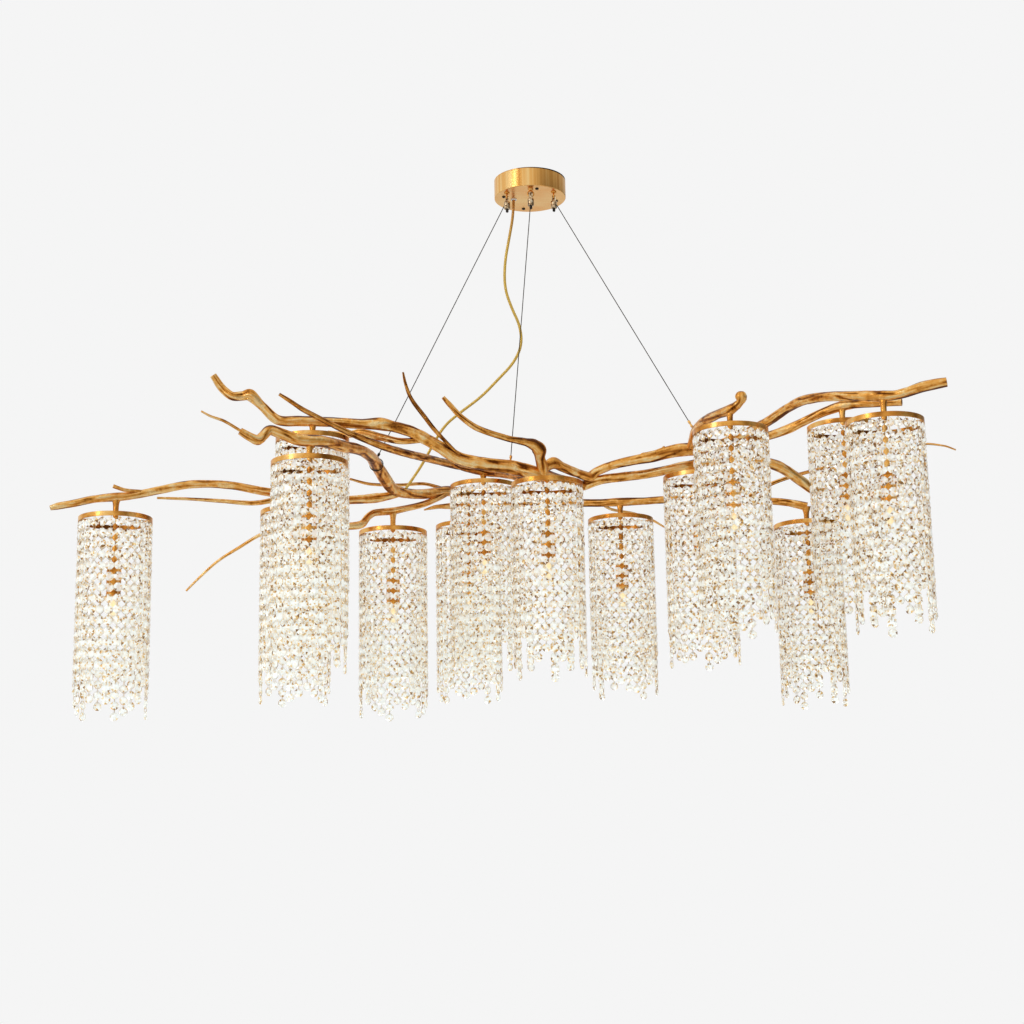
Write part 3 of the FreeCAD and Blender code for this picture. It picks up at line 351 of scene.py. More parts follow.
BRANCHES = (
    ("branch_upper_left", UPPER_LEFT_SHARES),
    ("branch_rear_long", REAR_LONG_SHARES),
    ("branch_lower_left", LOWER_LEFT_SHARES),
    ("branch_middle_left", MIDDLE_LEFT_SHARES),
    ("branch_knee", KNEE_BRANCH_SHARES),
    ("branch_right_spine", UPPER_RIGHT_SPINE_SHARES),
    ("branch_lower_right", LOWER_RIGHT_SHARES),
    ("branch_far_left", FAR_LEFT_SHARES),
    ("branch_front_low", FRONT_LOW_SHARES),
    ("branch_ball_tip", BALL_BRANCH_SHARES),
    ("branch_high_right", HIGH_RIGHT_SHARES),
    ("branch_middle_right", MIDDLE_RIGHT_SHARES),
)
TWIGS = (
    ("pale", PALE_TWIG_SHARES),
    ("tall", TALL_TWIG_SHARES),
    ("fork", FORK_TWIG_SHARES),
    ("spur", SPUR_TWIG_SHARES),
    ("far_left", FAR_LEFT_TWIG_SHARES),
    ("needle", NEEDLE_TWIG_SHARES),
    ("root", ROOT_TWIG_SHARES),
    ("rear", REAR_TWIG_SHARES),
    ("long_needle", LONG_NEEDLE_SHARES),
)

# Each shade: column of its stem, row of its ring's middle, depth share, the casting that
# carries it, and how many places its pattern of strand lengths is turned round.
SHADES = (
    (115.5, 520.5, -0.113, "branch_far_left", 0),
    (312.5, 441.5, -0.172, "branch_upper_left", 5),
    (309.5, 464.5, -0.355, "branch_lower_left", 9),
    (296.0, 514.0, 0.029, "branch_far_left", 13),
    (393.0, 534.0, 0.214, "branch_front_low", 3),
    (468.0, 528.0, 0.443, "branch_rear_long", 17),
    (483.5, 487.7, 0.257, "branch_middle_left", 7),
    (547.0, 485.5, -0.052, "branch_upper_left", 21),
    (620.5, 521.5, 0.395, "branch_rear_long", 11),
    (698.0, 479.0, 0.07, "branch_lower_right", 15),
    (730.5, 432.5, -0.277, "branch_ball_tip", 1),
    (807.0, 527.0, 0.324, "branch_rear_long", 19),
    (843.0, 428.5, -0.057, "branch_middle_right", 23),
    (884.5, 423.5, -0.426, "branch_high_right", 8),
)
# Extra beads on each strand, over the shortest, once round a ring.
EXTRA_BEADS = (2, 4, 1, 3, 0, 3, 2, 4, 1, 2, 3, 0, 4, 2, 3, 1, 4, 0, 3, 2, 1, 4, 2, 3, 0, 3)

# Lower ends of the wires: column, row and depth share.
WIRE_FEET_SHARES = {
    "left": (374.2, 463.6, -0.021),
    "centre": (510.0, 467.0, -0.068),
    "right": (694.4, 430.6, -0.072),
}

# Route of the power cord, from inside the grommet down to the lower left casting.
CORD_ROUTE = (
    (-0.029, 0.001, -0.028), (-0.030, 0.001, -0.062), (-0.038, 0.003, -0.104),
    (-0.047, 0.006, -0.150), (-0.048, 0.009, -0.196), (-0.036, 0.014, -0.232),
    (-0.022, 0.019, -0.262), (-0.019, 0.025, -0.296), (-0.034, 0.034, -0.326),
    (-0.062, 0.045, -0.352), (-0.092, 0.057, -0.380), (-0.128, 0.069, -0.403),
    (-0.158, 0.080, -0.424), (-0.178, 0.089, -0.454), (-0.196, 0.095, -0.486),
    (-0.213, 0.098, -0.512), (-0.232, 0.100, -0.538))

# Painted brightness of the facets of a bead, for the glints and reflections of cut glass, and how
# far single facets fall below it. The fall is greatest under the ring, where the beads mirror gold
# and shadow, and it grows towards the right between two places across the frame, because less
# light comes from there.
TABLE_TONE = 0.84
STAR_TONE = 0.72
KITE_TONE = 0.64
GIRDLE_TONE = 0.42
TONE_FALL = 0.89
TONE_FALL_POWER = 3
FALL_AT_RING = 1.00
FALL_LOST_DOWN = 0.24
FALL_AT_RIGHT = 0.15
FALL_GROWS_FROM = -0.20
FALL_GROWS_TO = 0.30
# Painted glow of the beads, which are no lamps.
PAINTED_BEAD_GLOW = 0.160

# How much paler or browner than the rest a casting is, and how bright its ends' ridges are
CASTING_TONES = {
    "branch_far_left": 0.18, "branch_front_low": 0.14, "branch_lower_left": -0.02,
    "branch_middle_left": -0.20, "branch_knee": -0.14, "branch_rear_long": -0.08,
    "pale": 0.08, "tall": -0.50, "root": 0.10, "needle": 0.12, "rear": 0.14,
    "long_needle": -0.10,
}
END_RIDGE = 0.15

# Starts of the noise: the first casting's, the first twig's and the sliver's, and the step
# from one casting or twig to the next
CASTING_SEEDS = (0.0, 3.7)
TWIG_SEEDS = (60.0, 2.9)
SLIVER_SEED = 45.0

# Bark of the castings: how fine each kind of swelling is round a casting and along it
FOLD_FINENESS = (1.7, 16.0)
LUMP_FINENESS = (2.4, 70.0)
STREAK_FINENESS = (5.5, 22.0)
STREAK_SHIFT = 3.0
# Girth and ridge brightness of bare metal, and what fold, lump, streak, groove and knuckle
# add to them
BARE_GIRTH = 0.965
GIRTH_WEIGHTS = (0.05, 0.035, 0.02, -0.13, 0.045)
BARE_RIDGE = 0.58
RIDGE_WEIGHTS = (0.40, 0.35, 0.50, -0.85, 0.30)

# Grooves: their number and width, how they wander and twist along a casting, and how their
# depth comes and goes. The shifts keep the noise of one groove apart from the next one's.
GROOVES = 4
GROOVE_HALF_ANGLE = 0.42
GROOVE_WANDER = 1.4
GROOVE_WANDER_ALONG = 14.0
GROOVE_TWIST = 3.0
GROOVE_DEPTH = 0.55
GROOVE_DEPTH_SPREAD = 1.6
GROOVE_DEPTH_ALONG = 30.0
WANDER_SHIFTS = (5.1, 2.3)
DEPTH_SHIFTS = (3.7, 4.0)

# Knuckles: the way from one to the next, how it varies, and the widths of a knuckle and of
# the neck behind it as shares of that way
KNUCKLE_PITCH = 0.085
KNUCKLE_WANDER = 0.8
KNUCKLE_WANDER_ALONG = 8.0
KNUCKLE_SHIFTS = (9.0, 1.7, 3.0)
KNUCKLE_LEAST = 0.35
KNUCKLE_GAIN = 1.6
KNUCKLE_WIDTH = 0.10
NECK_PLACE = 0.17
NECK_WIDTH = 0.05
NECK_DEPTH = 0.8

# Blunt ends of the castings
END_ROUND_SHARE = 0.74
END_HOLLOW_SHARE = 0.45
END_HOLLOW = 0.0010
END_SET_BACK = 0.0003

# Fineness of the meshes
BRANCH_STEP = 0.0020
BRANCH_SIDES = 36
CANOPY_SIDES = 144
BAND_SIDES = 104
TURNED_SIDES = 32
SMALL_SIDES = 24
PIN_SIDES = 16
NUT_SIDES = 6
CHEEK_STEPS = 8
RING_WIRE_SIDES = 10
TIE_SIDES = 6
TIE_ROUND_STEPS = 28
LINK_SIDES = 4
LINK_STEPS = 12
FINE_WIRE_SIDES = 5
ROPE_STEPS_PER_LAY = 8
CREASE_ANGLE = 0.6

# Studio. Polished metal mirrors a room that darkens towards the right, less so high up, and
# a floor of its own brightness. Only the strip lamp shows in it.
BACKGROUND = 0.913
ROOM_LIGHT = 0.62
SHINE_LIGHT = 0.82
SHINE_DARK = 0.19
SHINE_DARKENS = (0.15, 0.70)
SHINE_LIFTS = (0.28, 0.36)
SHINE_LIFT = 0.6
FLOOR_SHINE = 0.64
FLOOR_LEVEL = -2.8
FLOOR_HALF = 8.0
FLOOR_TILES = 8
LAMP_TARGET = (0.0, 0.0, -0.6)
# Each lamp: name, place, width, height, power, and whether metal mirrors it
LAMPS = (
    ("strip", (-2.4, -2.0, 0.6), 0.28, 1.7, 10.0, True),
    ("top_left", (-1.6, -1.6, 1.3), 1.2, 1.2, 20.0, False),
    ("top_right", (1.8, -0.8, 1.2), 0.9, 0.9, 7.0, False),
    ("right", (2.6, -0.6, -0.6), 0.8, 1.6, 3.0, False),
    ("front_low", (0.4, -3.4, -1.9), 1.6, 0.8, 8.0, False),
    ("rear", (0.3, 2.4, 0.8), 1.6, 0.8, 12.0, False),
)

random.seed(7)


class Signal:
    """A number or colour at a node's outlet. Sums and products of signals add nodes."""

    def __init__(self, finish, outlet):
        self.finish = finish
        self.outlet = outlet

    def __add__(self, other):
        return self.finish.maths("ADD", self, other)

    def __radd__(self, other):
        return self.finish.maths("ADD", other, self)

    def __sub__(self, other):
        return self.finish.maths("SUBTRACT", self, other)

    def __rsub__(self, other):
        return self.finish.maths("SUBTRACT", other, self)

    def __mul__(self, other):
        return self.finish.maths("MULTIPLY", self, other)

    def __rmul__(self, other):
        return self.finish.maths("MULTIPLY", other, self)


class Finish:
    """A shader tree that is built from Python expressions."""

    def __init__(self, tree):
        self.tree = tree
        tree.nodes.clear()

    def node(self, kind, settings=None, values=None, outlet=0):
        """Adds a node, sets its settings, then feeds its sockets with values or signals."""
        made = self.tree.nodes.new(kind)
        for key, value in (settings or {}).items():
            if key == "stops":
                self.set_stops(made.color_ramp, value)
            else:
                setattr(made, key, value)
        for key, value in (values or {}).items():
            if isinstance(value, Signal):
                self.tree.links.new(value.outlet, made.inputs[key])
            else:
                made.inputs[key].default_value = value
        return Signal(self, made.outputs[outlet]) if made.outputs else made

    def set_stops(self, ramp, stops):
        while len(ramp.elements) < len(stops):
            ramp.elements.new(1.0)
        for element, (position, colour) in zip(ramp.elements, stops):
            element.position = position
            element.color = (*colour, 1.0)

    def maths(self, operation, first, second):
        """Works out one step on two numbers, as a node."""
        return self.node("ShaderNodeMath", {"operation": operation}, {0: first, 1: second})

    def place(self):
        return self.node("ShaderNodeTexCoord", outlet="Object")

    def stretched(self, place, stretch):
        return self.node("ShaderNodeVectorMath", {"operation": "MULTIPLY"},
                         {0: place, 1: stretch})

    def cloud(self, place, scale, detail=2.0):
        return self.node("ShaderNodeTexNoise", None,
                         {"Vector": place, "Scale": scale, "Detail": detail})

    def mark(self, name):
        """Reads a number that the mesh carries at its points."""
        return self.node("ShaderNodeAttribute", {"attribute_name": name}, outlet="Fac")

    def part(self, vector, axis):
        """One of the three numbers of a vector."""
        return self.node("ShaderNodeSeparateXYZ", None, {"Vector": vector}, outlet=axis)

    def upright(self):
        """How far a surface faces up, from -1 to 1."""
        return self.part(self.node("ShaderNodeNewGeometry", outlet="Normal"), "Z")

    def height(self):
        return self.part(self.place(), "Z")

    def ramp(self, signal, stops):
        return self.node("ShaderNodeValToRGB", {"stops": stops}, {"Fac": signal})

    def limits(self, signal, low, high):
        """Stretches the part of a signal between two values to 0 and 1."""
        return self.node("ShaderNodeMapRange", None,
                         {"Value": signal, "From Min": low, "From Max": high})

    def mix(self, share, first, second):
        """Colour between two colours."""
        return self.node("ShaderNodeMix", {"data_type": "RGBA"}, {0: share, 6: first, 7: second},
                         outlet=2)

    def bump(self, height, distance, strength=1.0):
        return self.node("ShaderNodeBump", None,
                         {"Height": height, "Distance": distance, "Strength": strength})

    def surface(self, values):
        shader = self.node("ShaderNodeBsdfPrincipled", None, values)
        self.node("ShaderNodeOutputMaterial", None, {"Surface": shader})


def finish_named(name):
    """New material and the finish that fills its tree."""
    material = bpy.data.materials.new(name)
    material.use_nodes = True
    return material, Finish(material.node_tree)


def clouded(name, scale, detail, stops, metallic, rough, spread, skin=None, glow=0.0,
            through=0.0):
    """Material whose colour and roughness follow one cloud. It may have a bumpy skin, glow in
    its own colour, and let light through."""
    material, finish = finish_named(name)
    cloud = finish.cloud(finish.place(), scale, detail)
    colour = finish.ramp(cloud, stops)
    values = {"Base Color": colour, "Metallic": metallic, "Roughness": rough + cloud * spread}
    if skin:
        values["Normal"] = finish.bump(cloud, *skin)
    if glow:
        values.update({"Emission Color": colour, "Emission Strength": glow})
    if through:
        values["Transmission Weight"] = through
    finish.surface(values)
    return material


def casting_gold():
    """Cast and gilded branches: brown in the grooves, pale flecks on the ridges, painted shade on
    their tops and undersides, and painted light on the flanks that face a little down.
    """
    material, finish = finish_named("casting_gold")
    place = finish.place()
    ridge = finish.mark("ridge")
    patch = finish.cloud(place, 26.0, 4.0)
    chips = finish.cloud(place, 150.0, 3.0)
    grain = finish.cloud(place, 520.0, 3.0)
    # Painted shade on faces that point up and on faces that point straight down, and a painted band of
    # light on flanks that face a little down, as if lit from the floor.
    top = finish.limits(finish.upright(), 0.50, 0.92)
    under = finish.limits(finish.upright(), -0.85, -0.98)
    painted_floor_light = (finish.limits(finish.upright(), 0.25, -0.25)
             * finish.limits(finish.upright(), -0.95, -0.70))
    fleck = finish.limits(chips, 0.56, 0.66) * ridge
    pit = finish.limits(chips, 0.44, 0.36)
    tone = (ridge * 0.84 + patch * 0.24 + fleck * 0.40 + painted_floor_light * 0.15 - top * 0.34
            - under * 0.30 - pit * 0.12 - 0.04)
    colour = finish.ramp(tone, (
        (0.08, (0.13, 0.036, 0.005)), (0.30, (0.52, 0.19, 0.028)),
        (0.52, (0.86, 0.40, 0.080)), (0.70, (0.97, 0.54, 0.16)), (0.94, (1.0, 0.73, 0.35))))
    rough = 0.36 - ridge * 0.14 + patch * 0.10
    height = chips * 0.6 + grain * 0.2
    finish.surface({
        "Base Color": colour, "Metallic": 1.0, "Roughness": rough,
        "Normal": finish.bump(height, 0.0022, 0.7)})
    return material


def polished_gold():
    """Plated rings, stems and holders: brown clouds, turning lines, and painted shade that darkens the
    hidden faces.
    """
    material, finish = finish_named("polished_gold")
    place = finish.place()
    shown = finish.mark("shown")
    lines = finish.cloud(finish.stretched(place, (1.0, 1.0, 60.0)), 22.0, 3.0)
    patch = finish.cloud(place, 34.0, 3.0)
    # Painted shade: faces with a low lit share, such as the inner face of a band, are darker.
    tone = patch + shown * 0.22 - 0.22
    colour = finish.ramp(tone, (
        (0.22, (0.24, 0.085, 0.014)), (0.40, (0.62, 0.25, 0.040)), (0.54, (0.86, 0.41, 0.085)),
        (0.70, (0.98, 0.63, 0.23))))
    rough = 0.16 + patch * 0.16 + lines * 0.05
    finish.surface({
        "Base Color": colour, "Metallic": 1.0, "Roughness": rough,
        "Normal": finish.bump(lines, 0.00008, 0.4)})
    return material


def brushed_gold():
    """Canopy: satin gold, brushed upright round its wall and straight across its floor. Its wall is
    painted darker towards the right as shade, and a thin dark line along its top edge, wider on the
    right, is a painted shadow.
    """
    material, finish = finish_named("brushed_gold")
    place = finish.place()
    wall = finish.mark("wall")
    streaks = finish.cloud(finish.stretched(place, (1.0, 1.0, 0.02)), 130.0, 3.0)
    grain = finish.cloud(finish.stretched(place, (0.05, 1.0, 1.0)), 900.0, 4.0)
    brushing = streaks * wall + grain * (1 - wall)
    across = finish.part(place, "X")
    # Painted shadow: a dark line along the top of the wall, wider towards the right.
    gap = finish.limits(finish.height() + across * 0.030, -0.0016, -0.0011)
    # Painted shade: the wall's colour darkens towards the right.
    satin = finish.ramp(brushing - across * 0.2, (
        (0.32, (0.66, 0.29, 0.060)), (0.48, (0.88, 0.46, 0.125)), (0.66, (0.97, 0.64, 0.26))))
    sheen = finish.cloud(place, 22.0, 1.0)
    pale = finish.ramp(brushing * 0.6 + sheen * 0.5, (
        (0.42, (0.95, 0.48, 0.14)), (0.66, (1.0, 0.65, 0.26))))
    faces = finish.mix(wall, pale, satin)
    colour = finish.mix(gap * wall, faces, (0.035, 0.014, 0.004, 1.0))
    rough = 0.26 + brushing * 0.10
    finish.surface({
        "Base Color": colour, "Metallic": 1.0, "Roughness": rough,
        "Normal": finish.bump(brushing, 0.00006, 0.30)})
    return material


def crystal():
    """Cut glass beads that let part of the light through. Every facet has a painted tone of its own
    for the glints and dark reflections of cut glass, and the beads glow faintly as painted light.
    """
    material, finish = finish_named("crystal")
    facet = finish.mark("facet")
    tint = finish.cloud(finish.place(), 60.0, 2.0)
    colour = finish.ramp(facet, (
        (0.0, (0.17, 0.066, 0.011)), (0.09, (0.50, 0.235, 0.040)), (0.20, (0.80, 0.52, 0.18)),
        (0.34, (0.85, 0.78, 0.63)), (0.50, (0.89, 0.93, 0.92)), (0.80, (0.93, 0.98, 0.99))))
    finish.surface({
        "Base Color": colour, "Metallic": 0.0, "Roughness": 0.03 + tint * 0.04,
        "IOR": 1.45, "Transmission Weight": 0.62, "Emission Color": colour,
        "Emission Strength": PAINTED_BEAD_GLOW})
    return material


def link_brass():
    """Thin pins that join the beads."""
    return clouded("link_brass", 300.0, 2.0, (
        (0.35, (0.62, 0.42, 0.20)), (0.65, (0.86, 0.66, 0.36))), metallic=1.0, rough=0.24, spread=0.12)


def bulb_glass():
    """Capsule glass, faintly warm and hazy in soft patches."""
    return clouded("bulb_glass", 120.0, 2.0, (
        (0.35, (1.0, 0.86, 0.55)), (0.65, (1.0, 0.93, 0.74))),
        metallic=0.0, rough=0.12, spread=0.15, glow=0.18, through=0.55)


def filament():
    """Lit wire inside the capsule."""
    return clouded("filament", 500.0, 2.0, (
        (0.35, (1.0, 0.62, 0.22)), (0.65, (1.0, 0.80, 0.45))),
        metallic=0.0, rough=0.4, spread=0.1, glow=0.9)


def ceramic():
    """Pale insulator in the mouth of a lamp holder."""
    return clouded("ceramic", 900.0, 3.0, (
        (0.35, (0.70, 0.68, 0.62)), (0.65, (0.82, 0.80, 0.75))), metallic=0.0, rough=0.45, spread=0.2)


def black_steel():
    """Blackened noses and screw heads, a little lighter in small patches."""
    return clouded("black_steel", 420.0, 4.0, (
        (0.40, (0.018, 0.015, 0.013)), (0.75, (0.11, 0.095, 0.08))),
        metallic=0.8, rough=0.30, spread=0.25)


def wire_steel():
    """Stranded suspension wire."""
    return clouded("wire_steel", 240.0, 3.0, (
        (0.30, (0.030, 0.023, 0.015)), (0.70, (0.075, 0.058, 0.038))),
        metallic=0.7, rough=0.50, spread=0.16)


def moulded_plastic(name, dark, light):
    """Moulded plastic with a faint orange-peel skin."""
    return clouded(name, 1400.0, 2.0, ((0.35, dark), (0.65, light)), metallic=0.0,
                   rough=0.30, spread=0.12, skin=(0.00008, 0.3))


def nickel():
    """Bright plated wire grippers."""
    material, finish = finish_named("nickel")
    place = finish.place()
    smear_and_reflection = finish.cloud(place, 260.0, 3.0)
    lines = finish.cloud(finish.stretched(place, (1.0, 1.0, 12.0)), 260.0, 2.0)
    # Dark and pale patches stand partly for smears and partly for painted reflections of the bright
    # plating.
    colour = finish.ramp(smear_and_reflection, (
        (0.34, (0.16, 0.09, 0.045)), (0.52, (0.62, 0.43, 0.24)), (0.66, (0.95, 0.84, 0.62))))
    finish.surface({
        "Base Color": colour, "Metallic": 1.0, "Roughness": 0.14 + smear_and_reflection * 0.16,
        "Normal": finish.bump(lines, 0.00006, 0.4)})
    return material


def zinc_plate():
    """Pressed bracket with spangled zinc."""
    material, finish = finish_named("zinc_plate")
    place = finish.place()
    spangle = finish.node("ShaderNodeTexVoronoi", None, {"Vector": place, "Scale": 260.0},
                          outlet="Distance")
    colour = finish.ramp(spangle, ((0.10, (0.46, 0.47, 0.49)), (0.60, (0.70, 0.71, 0.72))))
    finish.surface({"Base Color": colour, "Metallic": 1.0, "Roughness": 0.30 + spangle * 0.2})
    return material


def clear_gold_lead():
    """Clear sheath over gold braid: browner at its top, yellower lower down."""
    material, finish = finish_named("clear_gold_lead")
    place = finish.place()
    fall = finish.limits(finish.height(), -0.040, -0.130)
    braid = finish.node("ShaderNodeTexWave", {"bands_direction": "DIAGONAL"},
                        {"Vector": place, "Scale": 240.0, "Distortion": 1.5, "Detail": 1.0})
    upper = finish.ramp(braid, ((0.2, (0.46, 0.17, 0.022)), (0.8, (0.60, 0.25, 0.04))))
    lower = finish.ramp(braid, ((0.2, (0.58, 0.36, 0.045)), (0.8, (0.70, 0.46, 0.08))))
    colour = finish.mix(fall, upper, lower)
    finish.surface({
        "Base Color": colour, "Metallic": 0.25, "Roughness": 0.22 + braid * 0.14,
        "Coat Weight": 0.35, "Normal": finish.bump(braid, 0.0001, 0.2)})
    return material


def floor_paint():
    """Pale matt floor with a very slight mottle, dim where polished metal mirrors it."""
    material, finish = finish_named("floor_paint")
    mottle = finish.cloud(finish.place(), 3.0, 3.0)
    colour = finish.ramp(mottle, ((0.35, (0.80, 0.80, 0.79)), (0.65, (0.84, 0.84, 0.83))))
    paint = finish.node("ShaderNodeBsdfPrincipled", None,
                        {"Base Color": colour, "Roughness": 0.7 + mottle * 0.1})
    mirrored = finish.node("ShaderNodeLightPath", outlet="Is Glossy Ray")
    dim = finish.node("ShaderNodeEmission", None, {"Color": (1, 1, 1, 1),
                                                   "Strength": FLOOR_SHINE})
    final = finish.node("ShaderNodeMixShader", None, {0: mirrored, 1: paint, 2: dim})
    finish.node("ShaderNodeOutputMaterial", None, {"Surface": final})
    return material


def place_point(column, row, depth_share):
    """Point of the frame behind a square of the front view, at a share of the depth."""
    across = column - VIEW_MIDDLE_PIXELS
    up = VIEW_MIDDLE_PIXELS - row
    level = (across * math.cos(VIEW_ROLL) + up * math.sin(VIEW_ROLL)) / VIEW_FOCAL_PIXELS
    rise = (up * math.cos(VIEW_ROLL) - across * math.sin(VIEW_ROLL)) / VIEW_FOCAL_PIXELS
    depth = depth_share * FRAME_DEPTH
    away = depth + EYE_AWAY_SHARE * FRAME_LENGTH
    reach = away / (math.cos(VIEW_PITCH) - rise * math.sin(VIEW_PITCH))
    height = reach * (math.sin(VIEW_PITCH) + rise * math.cos(VIEW_PITCH))
    return Vector((VIEW_EYE[0] + reach * level, depth - FRAME_SETBACK, VIEW_EYE[2] + height))


def round_rim(centre, first, second, radius, sides):
    """Points on a circle in the plane of two directions."""
    return [centre + first * (radius * math.cos(TURN * side / sides))
            + second * (radius * math.sin(TURN * side / sides)) for side in range(sides)]


def square_to(along):
    """Two directions square to a third and to each other."""
    first = along.orthogonal().normalized()
    return first, along.cross(first)


def turned_steps(radius, level, steps):
    """Rows of a turned profile, each in from a radius and up from a level."""
    return [(radius - inward, level + rise) for inward, rise in steps]


def in_scene(name, data):
    """New object of the scene that holds a mesh, a curve, a lamp or a camera."""
    made = bpy.data.objects.new(name, data)
    bpy.context.scene.collection.objects.link(made)
    return made


class Form:
    """Points and faces of a piece under construction, with one number carried per point."""

    def __init__(self):
        self.points = []
        self.faces = []
        self.marks = []

    def add(self, points, faces, marks=None):
        start = len(self.points)
        self.points.extend(points)
        self.faces.extend([tuple(start + corner for corner in face) for face in faces])
        self.marks.extend(marks or [1.0] * len(points))

    def loft(self, rims, marks=None, ends="closed"):
        """Skins rims of equal count. The ends are closed, open, or joined to each other."""
        count = len(rims[0])
        faces = []
        for row in range(len(rims) if ends == "joined" else len(rims) - 1):
            near = row * count
            far = (row + 1) % len(rims) * count
            for side in range(count):
                after = (side + 1) % count
                faces.append((near + side, near + after, far + after, far + side))
        if ends == "closed":
            faces.append(tuple(reversed(range(count))))
            last = (len(rims) - 1) * count
            faces.append(tuple(range(last, last + count)))
        self.add([point for rim in rims for point in rim], faces, marks)

    def turn(self, profile, middle, sides, axis=UP, ends="closed", marks=None):
        """Turns a (radius, height) profile round an axis through a point."""
        first, second = square_to(axis)
        rims = [round_rim(middle + axis * height, first, second, radius, sides)
                for radius, height in profile]
        carried = [mark for mark in marks for side in range(sides)] if marks else None
        self.loft(rims, carried, ends)

    def loop(self, path, radius, sides):
        """Round wire along a closed path that lies near one plane."""
        count = len(path)
        middle = sum(path, Vector()) / count
        normal = (path[0] - middle).cross(path[count // 4] - middle).normalized()
        rims = []
        for index, point in enumerate(path):
            along = (path[(index + 1) % count] - path[index - 1]).normalized()
            rims.append(round_rim(point, along.cross(normal).normalized(), normal, radius, sides))
        self.loft(rims, ends="joined")

    def sweep(self, path, radius, sides):
        """Round wire along an open path."""
        self.loft([round_rim(point, first, second, radius, sides)
                   for point, first, second in carried_frames(path)])

    def plate(self, middle, along, length, width, thickness, ease):
        """Level bar centred on a point, with its long edges eased."""
        across = UP.cross(along)
        rims = []
        for height, inward in ((-thickness / 2, ease), (ease - thickness / 2, 0.0),
                               (thickness / 2 - ease, 0.0), (thickness / 2, ease)):
            half = width / 2 - inward
            rims.append([middle + UP * height + along * (length / 2 * end) + across * (half * side)
                         for end, side in ((-1, -1), (1, -1), (1, 1), (-1, 1))])
        self.loft(rims)

    def mesh(self, name, material):
        made = bpy.data.meshes.new(name)
        made.from_pydata([tuple(point) for point in self.points], [], self.faces)
        made.materials.append(material)
        return made

    def piece(self, name, material, body, slot, nodes=(), smooth=True, crisp=False, mark=None):
        """Makes the object, and rides it on its body in place of its CAD nodes. A crisp piece
        is smooth with sharp edges, and a mark names the number that the points carry."""
        mesh = self.mesh(name, material)
        if mark:
            layer = mesh.attributes.new(mark, "FLOAT", "POINT")
            layer.data.foreach_set("value", self.marks)
        mesh.polygons.foreach_set("use_smooth", [smooth] * len(mesh.polygons))
        mesh.update()
        if crisp:
            mesh.set_sharp_from_angle(angle=CREASE_ANGLE)
        made = in_scene(name, mesh)
        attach(made, body)
        if nodes:
            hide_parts(*nodes)
        return made


def carried_frames(path):
    """Points of a path with two directions square to it that don't spin along the way."""
    first = None
    frames = []
    for index, point in enumerate(path):
        before = path[max(index - 1, 0)]
        after = path[min(index + 1, len(path) - 1)]
        along = (after - before).normalized()
        if first is None:
            first = UP if abs(along.z) < 0.9 else Vector((1, 0, 0))
        first = (first - along * first.dot(along)).normalized()
        frames.append((point, first, along.cross(first)))
    return frames


def smooth_run(rows, diameter):
    """Even steps along a smooth curve through the rows of a branch, with its radii."""
    points = [place_point(*row[:3]) for row in rows]
    radii = [row[3] * diameter / 2 for row in rows]
    path = []
    girths = []
    for index in range(len(points) - 1):
        before = points[max(index - 1, 0)]
        start = points[index]
        end = points[index + 1]
        after = points[min(index + 2, len(points) - 1)]
        span = (end - start).length
        steps = max(2, round(span / BRANCH_STEP))
        lead = (end - before) * 0.5 * min(1.0, span / max((start - before).length, BRANCH_STEP))
        trail = (after - start) * 0.5 * min(1.0, span / max((after - end).length, BRANCH_STEP))
        for step in range(steps):
            share = step / steps
            square = share * share
            cube = square * share
            path.append(start * (2 * cube - 3 * square + 1) + lead * (cube - 2 * square + share)
                        + end * (3 * square - 2 * cube) + trail * (cube - square))
            ease = share * share * (3 - 2 * share)
            girths.append(radii[index] * (1 - ease) + radii[index + 1] * ease)
    path.append(points[-1])
    girths.append(radii[-1])
    return path, girths


def groove_depth(angle, distance, seed):
    """Depth between 0 and 1 of the cracks that wander along a casting."""
    deepest = 0.0
    for number in range(GROOVES):
        wander = noise.noise(Vector((seed + number * WANDER_SHIFTS[0], number * WANDER_SHIFTS[1],
                                     distance * GROOVE_WANDER_ALONG)))
        centre = TURN * number / GROOVES + GROOVE_WANDER * wander + distance * GROOVE_TWIST
        apart = abs((angle - centre + math.pi) % TURN - math.pi)
        vary = noise.noise(Vector((seed - number * DEPTH_SHIFTS[0], DEPTH_SHIFTS[1],
                                   distance * GROOVE_DEPTH_ALONG)))
        depth = min(max(GROOVE_DEPTH + GROOVE_DEPTH_SPREAD * vary, 0.0), 1.0)
        deepest = max(deepest, max(0.0, 1 - apart / GROOVE_HALF_ANGLE) * depth)
    return deepest


def knuckle(distance, seed):
    """Swelling between -1 and 1 of the rings where side shoots once grew."""
    wander = noise.noise(Vector((seed, KNUCKLE_SHIFTS[0], distance * KNUCKLE_WANDER_ALONG)))
    place = distance / KNUCKLE_PITCH + KNUCKLE_WANDER * wander
    share = place - math.floor(place) - 0.5
    strength = max(0.0, KNUCKLE_LEAST + noise.noise(
        Vector((seed, math.floor(place) * KNUCKLE_SHIFTS[1], KNUCKLE_SHIFTS[2]))))
    swell = math.exp(-(share / KNUCKLE_WIDTH) ** 2)
    neck = math.exp(-((share - NECK_PLACE) / NECK_WIDTH) ** 2)
    return min(1.0, strength * KNUCKLE_GAIN) * (swell - NECK_DEPTH * neck)


